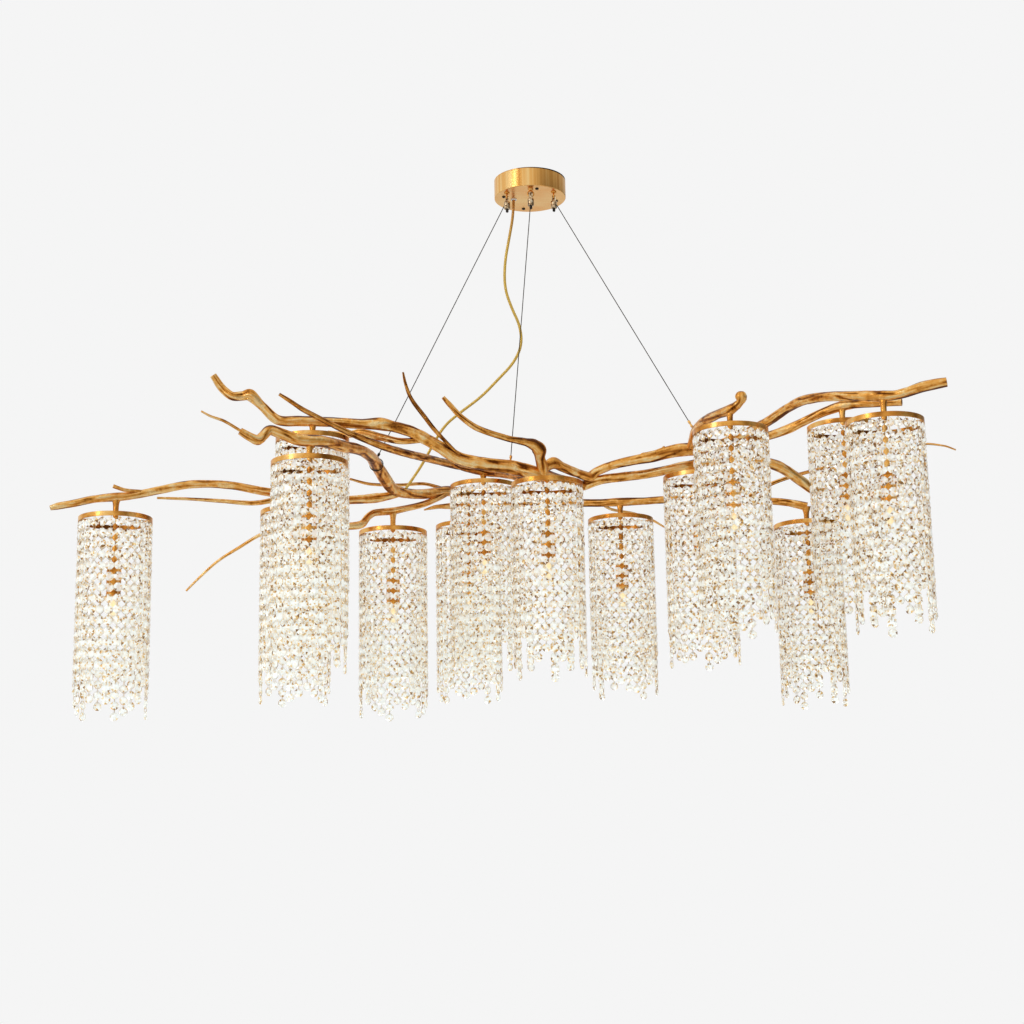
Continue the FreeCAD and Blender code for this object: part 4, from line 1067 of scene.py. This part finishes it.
def bark(angle, distance, seed):
    """Radius as a share of the girth, and the height of the ridge there between 0 and 1."""
    across = Vector((math.cos(angle), math.sin(angle), 0))

    def swelling(fineness, shift_x, shift_y, shift_z):
        return noise.noise(across * fineness[0]
                           + Vector((shift_x, shift_y, distance * fineness[1] + shift_z)))

    parts = (swelling(FOLD_FINENESS, seed, 0, 0), swelling(LUMP_FINENESS, 0, 0, -seed),
             swelling(STREAK_FINENESS, STREAK_SHIFT, seed, 0),
             groove_depth(angle, distance, seed), knuckle(distance, seed))
    girth = sum((weight * part for weight, part in zip(GIRTH_WEIGHTS, parts)), BARE_GIRTH)
    ridge = sum((weight * part for weight, part in zip(RIDGE_WEIGHTS, parts)), BARE_RIDGE)
    return min(girth, 1.0), min(max(ridge, 0.0), 1.0)


def add_branch(form, rows, diameter, seed, tone=0.0):
    """Adds one casting: a flat-flanked, cracked and knotted limb with blunt ends."""
    path, girths = smooth_run(rows, diameter)
    path[0] = path[0] + (path[1] - path[0]).normalized() * END_SET_BACK
    path[-1] = path[-1] + (path[-2] - path[-1]).normalized() * END_SET_BACK
    rims = []
    marks = []
    distance = 0.0
    for index, (point, first, second) in enumerate(carried_frames(path)):
        if index:
            distance += (path[index] - path[index - 1]).length
        rim = []
        for side in range(BRANCH_SIDES):
            angle = TURN * side / BRANCH_SIDES
            share, ridge = bark(angle, distance, seed)
            radius = girths[index] * share
            rim.append(point + first * (radius * math.cos(angle))
                       + second * (radius * math.sin(angle)))
            marks.append(ridge + tone)
        rims.append(rim)
    start_cap = blunt_end(rims[0], path[0], path[1])
    end_cap = blunt_end(rims[-1], path[-1], path[-2])
    cap_marks = [END_RIDGE] * (len(start_cap) * BRANCH_SIDES)
    form.loft(list(reversed(start_cap)) + rims + end_cap, cap_marks + marks + cap_marks)


def blunt_end(rim, centre, inner):
    """Two shrinking rims that round the end of a casting over and hollow it slightly."""
    inward = (inner - centre).normalized()
    rounded = [centre + (corner - centre) * END_ROUND_SHARE for corner in rim]
    hollow = [centre + (corner - centre) * END_HOLLOW_SHARE + inward * END_HOLLOW
              for corner in rim]
    return [rounded, hollow]


def ring_middle(shade):
    return place_point(*shade[:3])


def shade_front(middle):
    """Level direction from a shade to the eye of the front view, where it shows a gap."""
    return Vector((VIEW_EYE[0] - middle.x, VIEW_EYE[1] - middle.y, 0)).normalized()


def on_circle(middle, radius, angle):
    return middle + Vector((radius * math.cos(angle), radius * math.sin(angle), 0))


def make_branches(gold):
    """The castings, each on its own, and the twigs together."""
    for number, (name, rows) in enumerate(BRANCHES):
        form = Form()
        seed = CASTING_SEEDS[0] + number * CASTING_SEEDS[1]
        add_branch(form, rows, BRANCH_DIAMETER, seed, CASTING_TONES.get(name, 0.0))
        if name == "branch_right_spine":
            add_branch(form, SLIVER_SHARES, BRANCH_DIAMETER, SLIVER_SEED)
        form.piece(name + "_casting", gold, "hanging_frame", "satin_gold", [name], mark="ridge")
    form = Form()
    for number, (name, rows) in enumerate(TWIGS):
        seed = TWIG_SEEDS[0] + number * TWIG_SEEDS[1]
        add_branch(form, rows, TWIG_DIAMETER, seed, CASTING_TONES.get(name, 0.0))
    form.piece("twig_castings", gold, "hanging_frame", "satin_gold", ["twigs"], mark="ridge")


def make_rings(gold):
    """Flat bands with rounded edges, their crossbars and hubs."""
    ease = BAND_EASE
    outer = RING_DIAMETER / 2 * math.cos(math.pi / STRANDS_PER_SHADE) ** 0.5
    inner = outer - BAND_THICKNESS
    half = BAND_HEIGHT / 2
    hub = HUB_DIAMETER / 2
    flat = CROSSBAR_THICKNESS / 2
    band = ((inner + ease, -half), (outer - ease, -half), (outer, -half + ease),
            (outer, half - ease), (outer - ease, half), (inner + ease, half),
            (inner, half - ease), (inner, -half + ease), (inner + ease, -half))
    # Lit share of each point of the band's profile: the outer face is painted lit, and the inner face
    # is painted in shade.
    shown = [0.0, 1.0, 1.0, 1.0, 1.0, 0.0, 0.0, 0.0, 0.0]
    boss = ((hub - ease, -flat - ease / 2), (hub, -flat + ease), (hub, flat - ease),
            (hub - ease, flat + ease / 2))
    for number, shade in enumerate(SHADES, 1):
        middle = ring_middle(shade)
        form = Form()
        form.turn(band, middle, BAND_SIDES, ends="open", marks=shown)
        form.plate(middle, UP.cross(shade_front(middle)), 2 * (inner - ease), CROSSBAR_WIDTH,
                   CROSSBAR_THICKNESS, ease)
        form.turn(boss, middle, SMALL_SIDES)
        form.piece("ring_band_%02d" % number, gold, "hanging_frame", "satin_gold",
                   ["ring_%02d" % number], crisp=True, mark="shown")


def bead_form():
    """Octagonal bead that faces +X: points, facets and the painted brightness of each facet."""
    radius = BEAD_WIDTH / 2 / math.cos(math.pi / BEAD_SIDES)
    table = radius * BEAD_TABLE_SHARE
    half = BEAD_THICKNESS / 2
    girdle = BEAD_GIRDLE / 2
    points = []
    for depth, size, turn in ((half, table, 0.0), (girdle, radius, 0.5),
                              (-girdle, radius, 0.5), (-half, table, 0.0)):
        for side in range(BEAD_SIDES):
            angle = TURN * (side + turn) / BEAD_SIDES
            points.append(Vector((depth, size * math.cos(angle), size * math.sin(angle))))
    points += [Vector((half, 0, 0)), Vector((-half, 0, 0))]
    upper, lower, back, front_middle = (BEAD_SIDES * row for row in (1, 2, 3, 4))
    faces = []
    tones = []
    for side in range(BEAD_SIDES):
        after = (side + 1) % BEAD_SIDES
        faces.append((front_middle, side, after))
        faces.append((front_middle + 1, back + after, back + side))
        faces.append((side, upper + side, after))
        faces.append((after, upper + side, upper + after))
        faces.append((upper + side, lower + side, lower + after, upper + after))
        faces.append((back + side, back + after, lower + side))
        faces.append((back + after, lower + after, lower + side))
        tones += [TABLE_TONE, TABLE_TONE, STAR_TONE, KITE_TONE, GIRDLE_TONE, STAR_TONE, KITE_TONE]
    return points, faces, tones


def link_path():
    """Slender upright loop that joins two beads through their holes."""
    tall = BEAD_PITCH / 2 - BEAD_WIDTH / 2 + LINK_REACH
    deep = BEAD_THICKNESS / 2 - LINK_SET_IN
    return [Vector((deep * math.cos(TURN * step / LINK_STEPS), 0,
                    tall * math.sin(TURN * step / LINK_STEPS))) for step in range(LINK_STEPS)]


def make_curtains(glass, brass):
    """Strands of octagonal beads round each ring, with a link over every bead."""
    bead_points, bead_faces, bead_tones = bead_form()
    loop = link_path()
    radius = ((RING_DIAMETER - BAND_THICKNESS) / 2 * math.cos(math.pi / STRANDS_PER_SHADE)
              - BEAD_SET_IN)
    for number, shade in enumerate(SHADES, 1):
        front = shade_front(ring_middle(shade))
        facing = math.atan2(front.y, front.x)
        middle = ring_middle(shade) - UP * (BAND_HEIGHT / 2)
        beads = Form()
        links = Form()
        tones = []
        # Painted shade: the facets fall darker near the ring and, between two places, towards the
        # right of the frame.
        rightward = (middle.x - FALL_GROWS_FROM) / (FALL_GROWS_TO - FALL_GROWS_FROM)
        at_ring = FALL_AT_RING + FALL_AT_RIGHT * min(max(rightward, 0.0), 1.0)
        for strand in range(STRANDS_PER_SHADE):
            angle = facing + TURN * (strand + 0.5) / STRANDS_PER_SHADE
            upright = Matrix.Rotation(angle, 3, "Z")
            extra = EXTRA_BEADS[(strand + shade[4]) % len(EXTRA_BEADS)]
            pitch = BEAD_PITCH * random.uniform(TIGHTEST_PITCH, 1.0)
            for bead in range(SHORTEST_STRAND_BEADS + extra):
                centre = on_circle(middle, radius, angle) - UP * ((bead + 0.5) * pitch)
                yaw = angle + random.uniform(-BEAD_YAW, BEAD_YAW)
                lean = random.uniform(-BEAD_LEAN, BEAD_LEAN)
                turn = Matrix.Rotation(yaw, 3, "Z") @ Matrix.Rotation(lean, 3, "Y")
                beads.add([centre + turn @ point for point in bead_points], bead_faces)
                fall = TONE_FALL * (at_ring - FALL_LOST_DOWN * bead / SHORTEST_STRAND_BEADS)
                tones += [tone - fall * random.random() ** TONE_FALL_POWER
                          for tone in bead_tones]
                joint = centre + UP * (pitch / 2)
                if bead == 0:
                    joint = joint - UP * FIRST_LINK_DROP
                links.loop([joint + upright @ point for point in loop], LINK_WIRE / 2, LINK_SIDES)
        curtain = beads.piece("bead_curtain_%02d" % number, glass, "hanging_frame", "crystal",
                              ["strands_%02d" % number], smooth=False)
        layer = curtain.data.attributes.new("facet", "FLOAT", "FACE")
        layer.data.foreach_set("value", tones)
        links.piece("bead_links_%02d" % number, brass, "hanging_frame", "satin_gold")


def carrier_above(shade, runs):
    """Height of the casting's middle line straight above a shade, and its direction."""
    middle = ring_middle(shade)
    run = runs[shade[3]]
    near = min(range(len(run)), key=lambda index: (run[index].xy - middle.xy).length)
    along = run[min(near + 1, len(run) - 1)] - run[max(near - 1, 0)]
    return run[near].z - middle.z, along.normalized()


def add_flare(form, low, high, along):
    """Adds the top of a stem, which spreads along the casting that it is brazed to."""
    across = UP.cross(along).normalized()
    level = across.cross(UP)
    form.loft([round_rim(low + (high - low) * rise, level * spread, across,
                         STEM_WAIST_DIAMETER / 2, SMALL_SIDES) for rise, spread in FLARE_SHARES])


def add_bulb(form, middle, base):
    """Adds a capsule whose pinched end sits in its holder at a height."""
    size = BULB_DIAMETER / 2
    tip = base - BULB_LENGTH
    rows = [(size * BULB_PINCH_SHARE, base), (size, base - BULB_PINCH_HEIGHT)]
    for step in range(BULB_DOME_STEPS):
        angle = math.pi / 2 * step / BULB_DOME_STEPS
        rows.append((size * math.cos(angle), tip + size * (1 - math.sin(angle))))
    form.turn(rows + [(size * BULB_TIP_SHARE, tip)], middle, SMALL_SIDES)


def make_lamps(gold, glass, glow, insulator):
    """Stems with their tubes, lamp holders and capsule bulbs."""
    runs = {name: smooth_run(rows, BRANCH_DIAMETER)[0] for name, rows in BRANCHES}
    stems, holders, mouths, bulbs, wires = (Form() for kind in range(5))
    seat = CROSSBAR_THICKNESS / 2
    top = -TUBE_LENGTH
    shoulder = top - HOLDER_CAP_HEIGHT
    end = top - HOLDER_LENGTH
    base = end + SOCKET_DEPTH
    cap = HOLDER_CAP_DIAMETER / 2
    body = HOLDER_DIAMETER / 2
    socket = BULB_DIAMETER / 2 + SOCKET_CLEARANCE
    foot = ([(radius, seat + rise) for radius, rise in STEM_FOOT_ROWS]
            + [(TUBE_DIAMETER / 2, level) for level in TUBE_LEVELS])
    shell = ([(cap * HOLDER_CAP_BORE_SHARE, top)] + turned_steps(cap, top, CAP_TOP_STEPS)
             + turned_steps(cap, shoulder, CAP_FOOT_STEPS)
             + turned_steps(body, shoulder, HOLDER_TOP_STEPS)
             + turned_steps(body, end, HOLDER_END_STEPS))
    mouth = (turned_steps(body, end, MOUTH_RIM_STEPS)
             + turned_steps(socket, end, MOUTH_BORE_STEPS))
    for shade in SHADES:
        middle = ring_middle(shade)
        reach, along = carrier_above(shade, runs)
        waist = seat + (reach - seat) * STEM_WAIST_SHARE
        stems.turn([(STEM_WAIST_DIAMETER / 2, waist + STEM_OVERLAP)] + foot, middle, SMALL_SIDES)
        add_flare(stems, middle + UP * waist, middle + UP * reach, along)
        holders.turn(shell, middle, TURNED_SIDES)
        mouths.turn(mouth, middle, TURNED_SIDES)
        add_bulb(bulbs, middle, base)
        coil = [on_circle(middle, COIL_RADIUS, TURN * step / COIL_STEPS_PER_TURN)
                + UP * (base - COIL_START - step * COIL_FALL) for step in range(COIL_STEPS)]
        wires.sweep(coil, FILAMENT_RADIUS, FINE_WIRE_SIDES)
    stems.piece("stem_turnings", gold, "hanging_frame", "satin_gold", ["lamp_stems"],
                crisp=True, mark="shown")
    holders.piece("holder_shells", gold, "hanging_frame", "satin_gold", ["lamp_holders"],
                  crisp=True, mark="shown")
    mouths.piece("holder_mouths", insulator, "hanging_frame", "white_plastic")
    bulbs.piece("capsule_bulbs", glass, "hanging_frame", "bulb_glass", ["bulbs"])
    wires.piece("bulb_filaments", glow, "hanging_frame", "bulb_glass")


def make_canopy(gold, black):
    """Spun cup with a turned edge, and its four screws."""
    outer = CANOPY_DIAMETER / 2
    inner = outer - CANOPY_WALL
    inside = CANOPY_FLOOR + CANOPY_WALL
    edge = CANOPY_EDGE_RADIUS
    ease = CANOPY_RIM_EASE
    score = CANOPY_LIP_SCORE
    profile = [(CANOPY_AXIS_HOLE, inside), (inner - edge, inside), (inner, inside + edge),
               (inner, -ease / 2), (inner + ease, 0.0), (outer - ease, 0.0), (outer, -ease),
               (outer, -CANOPY_LIP), (outer - score, -CANOPY_LIP - score),
               (outer, -CANOPY_LIP - 2 * score)]
    marks = [0.0, 0.0] + [1.0] * (len(profile) - 2)
    for step in range(CANOPY_EDGE_STEPS + 1):
        angle = math.pi / 2 * step / CANOPY_EDGE_STEPS
        profile.append((outer - edge + edge * math.cos(angle),
                        CANOPY_FLOOR + edge - edge * math.sin(angle)))
        marks.append(1.0 - step / CANOPY_EDGE_STEPS)
    profile += [(outer - edge - CANOPY_FLOOR_EASE, CANOPY_FLOOR), (CANOPY_AXIS_HOLE, CANOPY_FLOOR)]
    marks += [0.0, 0.0]
    form = Form()
    form.turn(profile, ORIGIN, CANOPY_SIDES, marks=marks)
    form.piece("canopy_shell", gold, "canopy", "satin_gold", ["canopy_cup"], crisp=True,
               mark="wall")
    head = SCREW_HEAD_DIAMETER / 2
    shank = SCREW_DIAMETER / 2
    screw = [(shank, inside + SCREW_GRIP), (shank, CANOPY_FLOOR - SEAT_GAP),
             (head, CANOPY_FLOOR - SEAT_GAP)]
    screw += [(head * radius, CANOPY_FLOOR - SCREW_HEAD_HEIGHT * height)
              for radius, height in SCREW_HEAD_SHARES]
    screws = Form()
    for number in range(CANOPY_SCREW_COUNT):
        angle = math.radians(CANOPY_SCREW_ANGLE) + TURN * number / CANOPY_SCREW_COUNT
        screws.turn(screw, on_circle(ORIGIN, CANOPY_SCREW_CIRCLE / 2, angle), SMALL_SIDES)
    screws.piece("canopy_screw_heads", black, "canopy", "dark_steel", ["canopy_screws"])


def eye_places():
    """Stud places under the canopy, each with the direction of its eye's hole."""
    along_x = Vector((1, 0, 0))
    along_y = Vector((0, 1, 0))
    return {
        "left": (Vector((-EYE_SPREAD, EYE_LINE_Y, 0)), along_x),
        "centre": (Vector((EYE_CENTRE_X, EYE_CENTRE_Y, 0)), along_y),
        "right": (Vector((EYE_SPREAD, EYE_LINE_Y, 0)), along_x),
    }


def pin_height(name):
    """The middle pin is centred in its eye, and the side pins hang in theirs."""
    if name == "centre":
        return EYE_HEIGHT
    return EYE_HEIGHT - EYE_HOLE_DIAMETER / 2 + PIN_DIAMETER / 2 + 3 * PIN_CLEARANCE


def wire_run(name, stud):
    """Start and end of a wire, from the outer side of its gripper to its ferrule."""
    lean = Vector((0, -1, 0)) if name == "centre" else Vector((stud.x, 0, 0)).normalized()
    start = stud + lean * (GRIPPER_DIAMETER / 2 - WIRE_EDGE) + UP * (BARREL_TOP - WIRE_EXIT_DROP)
    return start, place_point(*WIRE_FEET_SHARES[name])


def add_eye(form, stud, axis):
    """Adds an eye with its domed boss, and its stud and nut inside the canopy."""
    inside = CANOPY_FLOOR + CANOPY_WALL
    boss = EYE_BOSS_DIAMETER / 2
    form.turn([(EYE_STUD_DIAMETER / 2, inside + EYE_NUT_HEIGHT),
               (EYE_STUD_DIAMETER / 2, CANOPY_FLOOR - SEAT_GAP)]
              + [(boss * share, CANOPY_FLOOR + rise) for share, rise in EYE_BOSS_STEPS],
              stud, SMALL_SIDES)
    form.turn(((EYE_NUT_ACROSS / 2, inside + EYE_NUT_HEIGHT), (EYE_NUT_ACROSS / 2, inside)),
              stud, NUT_SIDES)
    form.loop(round_rim(stud + UP * EYE_HEIGHT, axis.cross(UP), UP,
                        EYE_DIAMETER / 2 - EYE_WIRE / 2, TURNED_SIDES),
              EYE_WIRE / 2 * EYE_WIRE_SHARE, RING_WIRE_SIDES)


def add_gripper(form, stud, axis, pin_level):
    """Adds a barrel, bored for its nose, with two cheeks and the pin through the eye."""
    size = GRIPPER_DIAMETER / 2
    form.turn([(size * GRIPPER_TOP_SHARE, BARREL_TOP)]
              + turned_steps(size, BARREL_TOP, BARREL_TOP_STEPS)
              + turned_steps(size, BARREL_END, BARREL_END_STEPS)
              + turned_steps(NOSE_DIAMETER / 2 + NOSE_PLAY, BARREL_END, BARREL_BORE_STEPS),
              stud, TURNED_SIDES)
    other = axis.cross(UP)
    half = CHEEK_WIDTH / 2
    near = EYE_THICKNESS / 2 + CHEEK_GAP
    far = near + CHEEK_THICKNESS
    for side in (-1, 1):
        rims = []
        for depth in (near, far):
            outline = [stud + other * across + UP * (BARREL_TOP - CHEEK_SUNK)
                       for across in (-half, half)]
            for step in range(CHEEK_STEPS + 1):
                angle = math.pi * step / CHEEK_STEPS
                outline.append(stud + other * (half * math.cos(angle))
                               + UP * (pin_level + (half - CHEEK_TRIM) * math.sin(angle)))
            rims.append([point + axis * (side * depth) for point in outline])
        form.loft(rims)
    pin = PIN_DIAMETER / 2
    form.turn(((pin * PIN_END_SHARE, -far), (pin, PIN_EASE - far), (pin, far - PIN_EASE),
               (pin * PIN_END_SHARE, far)), stud + UP * pin_level, PIN_SIDES, axis=axis)


def make_suspension(bright, black, steel, gold):
    """Eyes, grippers with their sprung noses, stranded wires and pressed ferrules."""
    studs, grips, black_ferrule, brass_ferrules = (Form() for kind in range(4))
    tube = NOSE_DIAMETER / 2
    for name, (stud, axis) in eye_places().items():
        add_eye(studs, stud, axis)
        add_gripper(grips, stud, axis, pin_height(name))
        nose = Form()
        nose.turn(turned_steps(tube, BARREL_END, NOSE_STEPS)
                  + [(tube * share, BARREL_END + rise) for share, rise in NOSE_TIP_STEPS],
                  stud, SMALL_SIDES)
        nose.piece("release_nose_" + name, black, "nose_" + name, "dark_steel",
                   ["gripper_nose_" + name])
        start, low = wire_run(name, stud)
        along = (low - start).normalized()
        wire = Form()
        add_rope(wire, start - along * WIRE_SUNK, low - along * (FERRULE_LENGTH * WIRE_IN_FERRULE))
        if name == "left":
            add_tie(wire, low, *smooth_run(LOWER_LEFT_SHARES, BRANCH_DIAMETER))
        wire.piece("wire_rope_" + name, steel, "hanging_frame", "steel_wire", ["wire_" + name])
        ferrule = black_ferrule if name == "left" else brass_ferrules
        ferrule.turn([(FERRULE_DIAMETER / 2 * share, FERRULE_LENGTH * up)
                      for share, up in FERRULE_SHARES], low - along * FERRULE_LENGTH, PIN_SIDES,
                     axis=along)
    studs.piece("eye_bolts", gold, "canopy", "nickel", ["eye_studs"], crisp=True, mark="shown")
    grips.piece("gripper_bodies", bright, "hanging_frame", "nickel", ["wire_grippers"],
                crisp=True)
    black_ferrule.piece("crimped_ferrule_left", black, "hanging_frame", "dark_steel",
                        ["wire_ferrules"])
    brass_ferrules.piece("crimped_ferrules", gold, "hanging_frame", "satin_gold", mark="shown")


def add_tie(form, low, path, girths):
    """Adds the turn of wire that ties the left wire's foot round its casting."""
    near = min(range(2, len(path) - 2), key=lambda index: (path[index] - low).length)
    near = min(near + TIE_STEPS, len(path) - 2)
    first, second = square_to((path[near + 1] - path[near - 1]).normalized())
    turn = round_rim(path[near], first, second, girths[near] + WIRE_DIAMETER * TIE_LIFT_SHARE,
                     TIE_ROUND_STEPS)
    form.loop(turn, WIRE_DIAMETER / 2, TIE_SIDES)


def add_rope(form, start, end):
    """Adds steel strands laid round a core."""
    along = (end - start).normalized()
    length = (end - start).length
    first, second = square_to(along)
    strand = WIRE_DIAMETER / 2 / STRANDS_ACROSS_WIRE
    orbit = WIRE_DIAMETER / 2 - strand
    steps = int(length / WIRE_LAY * ROPE_STEPS_PER_LAY)
    form.sweep([start, (start + end) / 2, end], orbit + strand / 2, RING_WIRE_SIDES)
    for number in range(WIRE_STRANDS):
        path = []
        for step in range(steps + 1):
            share = step / steps
            angle = TURN * (number / WIRE_STRANDS + share * length / WIRE_LAY)
            path.append(start + along * (length * share) + first * (orbit * math.cos(angle))
                        + second * (orbit * math.sin(angle)))
        form.sweep(path, strand, FINE_WIRE_SIDES)


def make_cord(sheath, plastic):
    """Clear-sheathed lead on its listed route, and the grommet that it leaves by."""
    curve = bpy.data.curves.new("mains_lead", "CURVE")
    curve.dimensions = "3D"
    curve.resolution_u = CORD_CURVE_STEPS
    curve.bevel_depth = CORD_DIAMETER / 2
    curve.bevel_resolution = CORD_ROUNDNESS
    curve.use_fill_caps = True
    spline = curve.splines.new("NURBS")
    spline.points.add(len(CORD_ROUTE) - 1)
    for point, where in zip(spline.points, CORD_ROUTE):
        point.co = (*where, 1.0)
    spline.order_u = CORD_CURVE_ORDER
    spline.use_endpoint_u = True
    curve.materials.append(sheath)
    lead = in_scene("mains_lead", curve)
    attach(lead, "hanging_frame")
    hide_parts("power_cord")
    lip = GROMMET_DIAMETER / 2
    neck = lip - GROMMET_LIP / 2
    hole = GROMMET_BORE / 2
    inside = CANOPY_FLOOR + CANOPY_WALL
    form = Form()
    form.turn([(hole, inside), (neck, inside), (neck, CANOPY_FLOOR - SEAT_GAP)]
              + turned_steps(lip, CANOPY_FLOOR, GROMMET_LIP_STEPS)
              + turned_steps(neck, CANOPY_FLOOR, GROMMET_NECK_STEPS)
              + turned_steps(hole, CANOPY_FLOOR, GROMMET_BORE_STEPS),
              Vector((GROMMET_X, GROMMET_Y, 0)), SMALL_SIDES, ends="open")
    form.piece("lead_grommet", plastic, "canopy", "grommet_plastic", ["cord_grommet"])


def paint_kept_nodes():
    """The bracket and the terminal block stay as they are, with their own finishes."""
    zinc = zinc_plate()
    white = moulded_plastic("white_plastic", (0.70, 0.70, 0.67), (0.82, 0.82, 0.79))
    for name, material in (("ceiling_bracket", zinc), ("terminal_block", white)):
        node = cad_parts[name]
        node.data.materials.clear()
        node.data.materials.append(material)


def make_floor():
    """Plain pale floor below the chandelier."""
    form = Form()
    for row in range(FLOOR_TILES):
        for column in range(FLOOR_TILES):
            form.add([Vector((FLOOR_HALF * (2 * (column + x) / FLOOR_TILES - 1),
                              FLOOR_HALF * (2 * (row + y) / FLOOR_TILES - 1), FLOOR_LEVEL))
                      for x, y in ((0, 0), (1, 0), (1, 1), (0, 1))], [(0, 1, 2, 3)])
    floor = in_scene("floor", form.mesh("floor", floor_paint()))


def make_world():
    """Even studio light: pale to the camera and through glass, and a room for mirrors."""
    world = bpy.data.worlds.new("studio")
    bpy.context.scene.world = world
    world.use_nodes = True
    finish = Finish(world.node_tree)
    seen = finish.node("ShaderNodeLightPath", outlet="Is Camera Ray")
    through = finish.node("ShaderNodeLightPath", outlet="Is Transmission Ray")
    shine = finish.node("ShaderNodeLightPath", outlet="Is Glossy Ray")
    toward = finish.node("ShaderNodeTexCoord", outlet="Generated")
    rightward = finish.part(toward, "X")
    above = finish.limits(finish.part(toward, "Z"), *SHINE_LIFTS)
    dark = finish.limits(rightward, *SHINE_DARKENS) * (1 - above * SHINE_LIFT)
    level = SHINE_LIGHT - dark * (SHINE_LIGHT - SHINE_DARK)
    white = finish.node("ShaderNodeBackground", None, {"Color": (BACKGROUND,) * 3 + (1,)})
    room = finish.node("ShaderNodeBackground", None, {"Color": (ROOM_LIGHT,) * 3 + (1,)})
    mirrored = finish.node("ShaderNodeBackground", None,
                           {"Color": (1, 1, 1, 1), "Strength": level})
    either = finish.maths("MAXIMUM", seen, through)
    lit = finish.node("ShaderNodeMixShader", None, {0: shine, 1: room, 2: mirrored})
    final = finish.node("ShaderNodeMixShader", None, {0: either, 1: lit, 2: white})
    finish.node("ShaderNodeOutputWorld", None, {"Surface": final})


def make_lights():
    """Rectangular soft lamps, all turned to the middle of the chandelier."""
    for name, place, width, height, power, mirrored in LAMPS:
        light = bpy.data.lights.new(name, "AREA")
        light.shape = "RECTANGLE"
        light.size = width
        light.size_y = height
        light.energy = power
        lamp = in_scene(name, light)
        lamp.location = place
        toward = Vector(LAMP_TARGET) - Vector(place)
        lamp.rotation_euler = toward.to_track_quat("-Z", "Y").to_euler()
        lamp.visible_camera = False
        lamp.visible_glossy = mirrored


def make_camera():
    """Camera at the eye of the front view."""
    data = bpy.data.cameras.new("front_camera")
    data.sensor_fit = "HORIZONTAL"
    data.sensor_width = SENSOR_WIDTH
    data.lens = SENSOR_WIDTH * VIEW_FOCAL_PIXELS / (2 * VIEW_MIDDLE_PIXELS)
    camera = in_scene("front_camera", data)
    tilt = Matrix.Rotation(math.pi / 2 + VIEW_PITCH, 4, "X")
    camera.matrix_world = (Matrix.Translation(Vector(VIEW_EYE)) @ tilt
                           @ Matrix.Rotation(-VIEW_ROLL, 4, "Z"))
    bpy.context.scene.camera = camera


def main():
    bpy.context.scene.view_settings.view_transform = "Standard"
    polished = polished_gold()
    black = black_steel()
    make_branches(casting_gold())
    make_rings(polished)
    make_curtains(crystal(), link_brass())
    make_lamps(polished, bulb_glass(), filament(), ceramic())
    make_canopy(brushed_gold(), black)
    make_suspension(nickel(), black, wire_steel(), polished)
    make_cord(clear_gold_lead(), moulded_plastic("grommet_plastic", (0.78, 0.77, 0.74),
                                                 (0.90, 0.89, 0.86)))
    paint_kept_nodes()
    make_floor()
    make_world()
    make_lights()
    make_camera()


main()
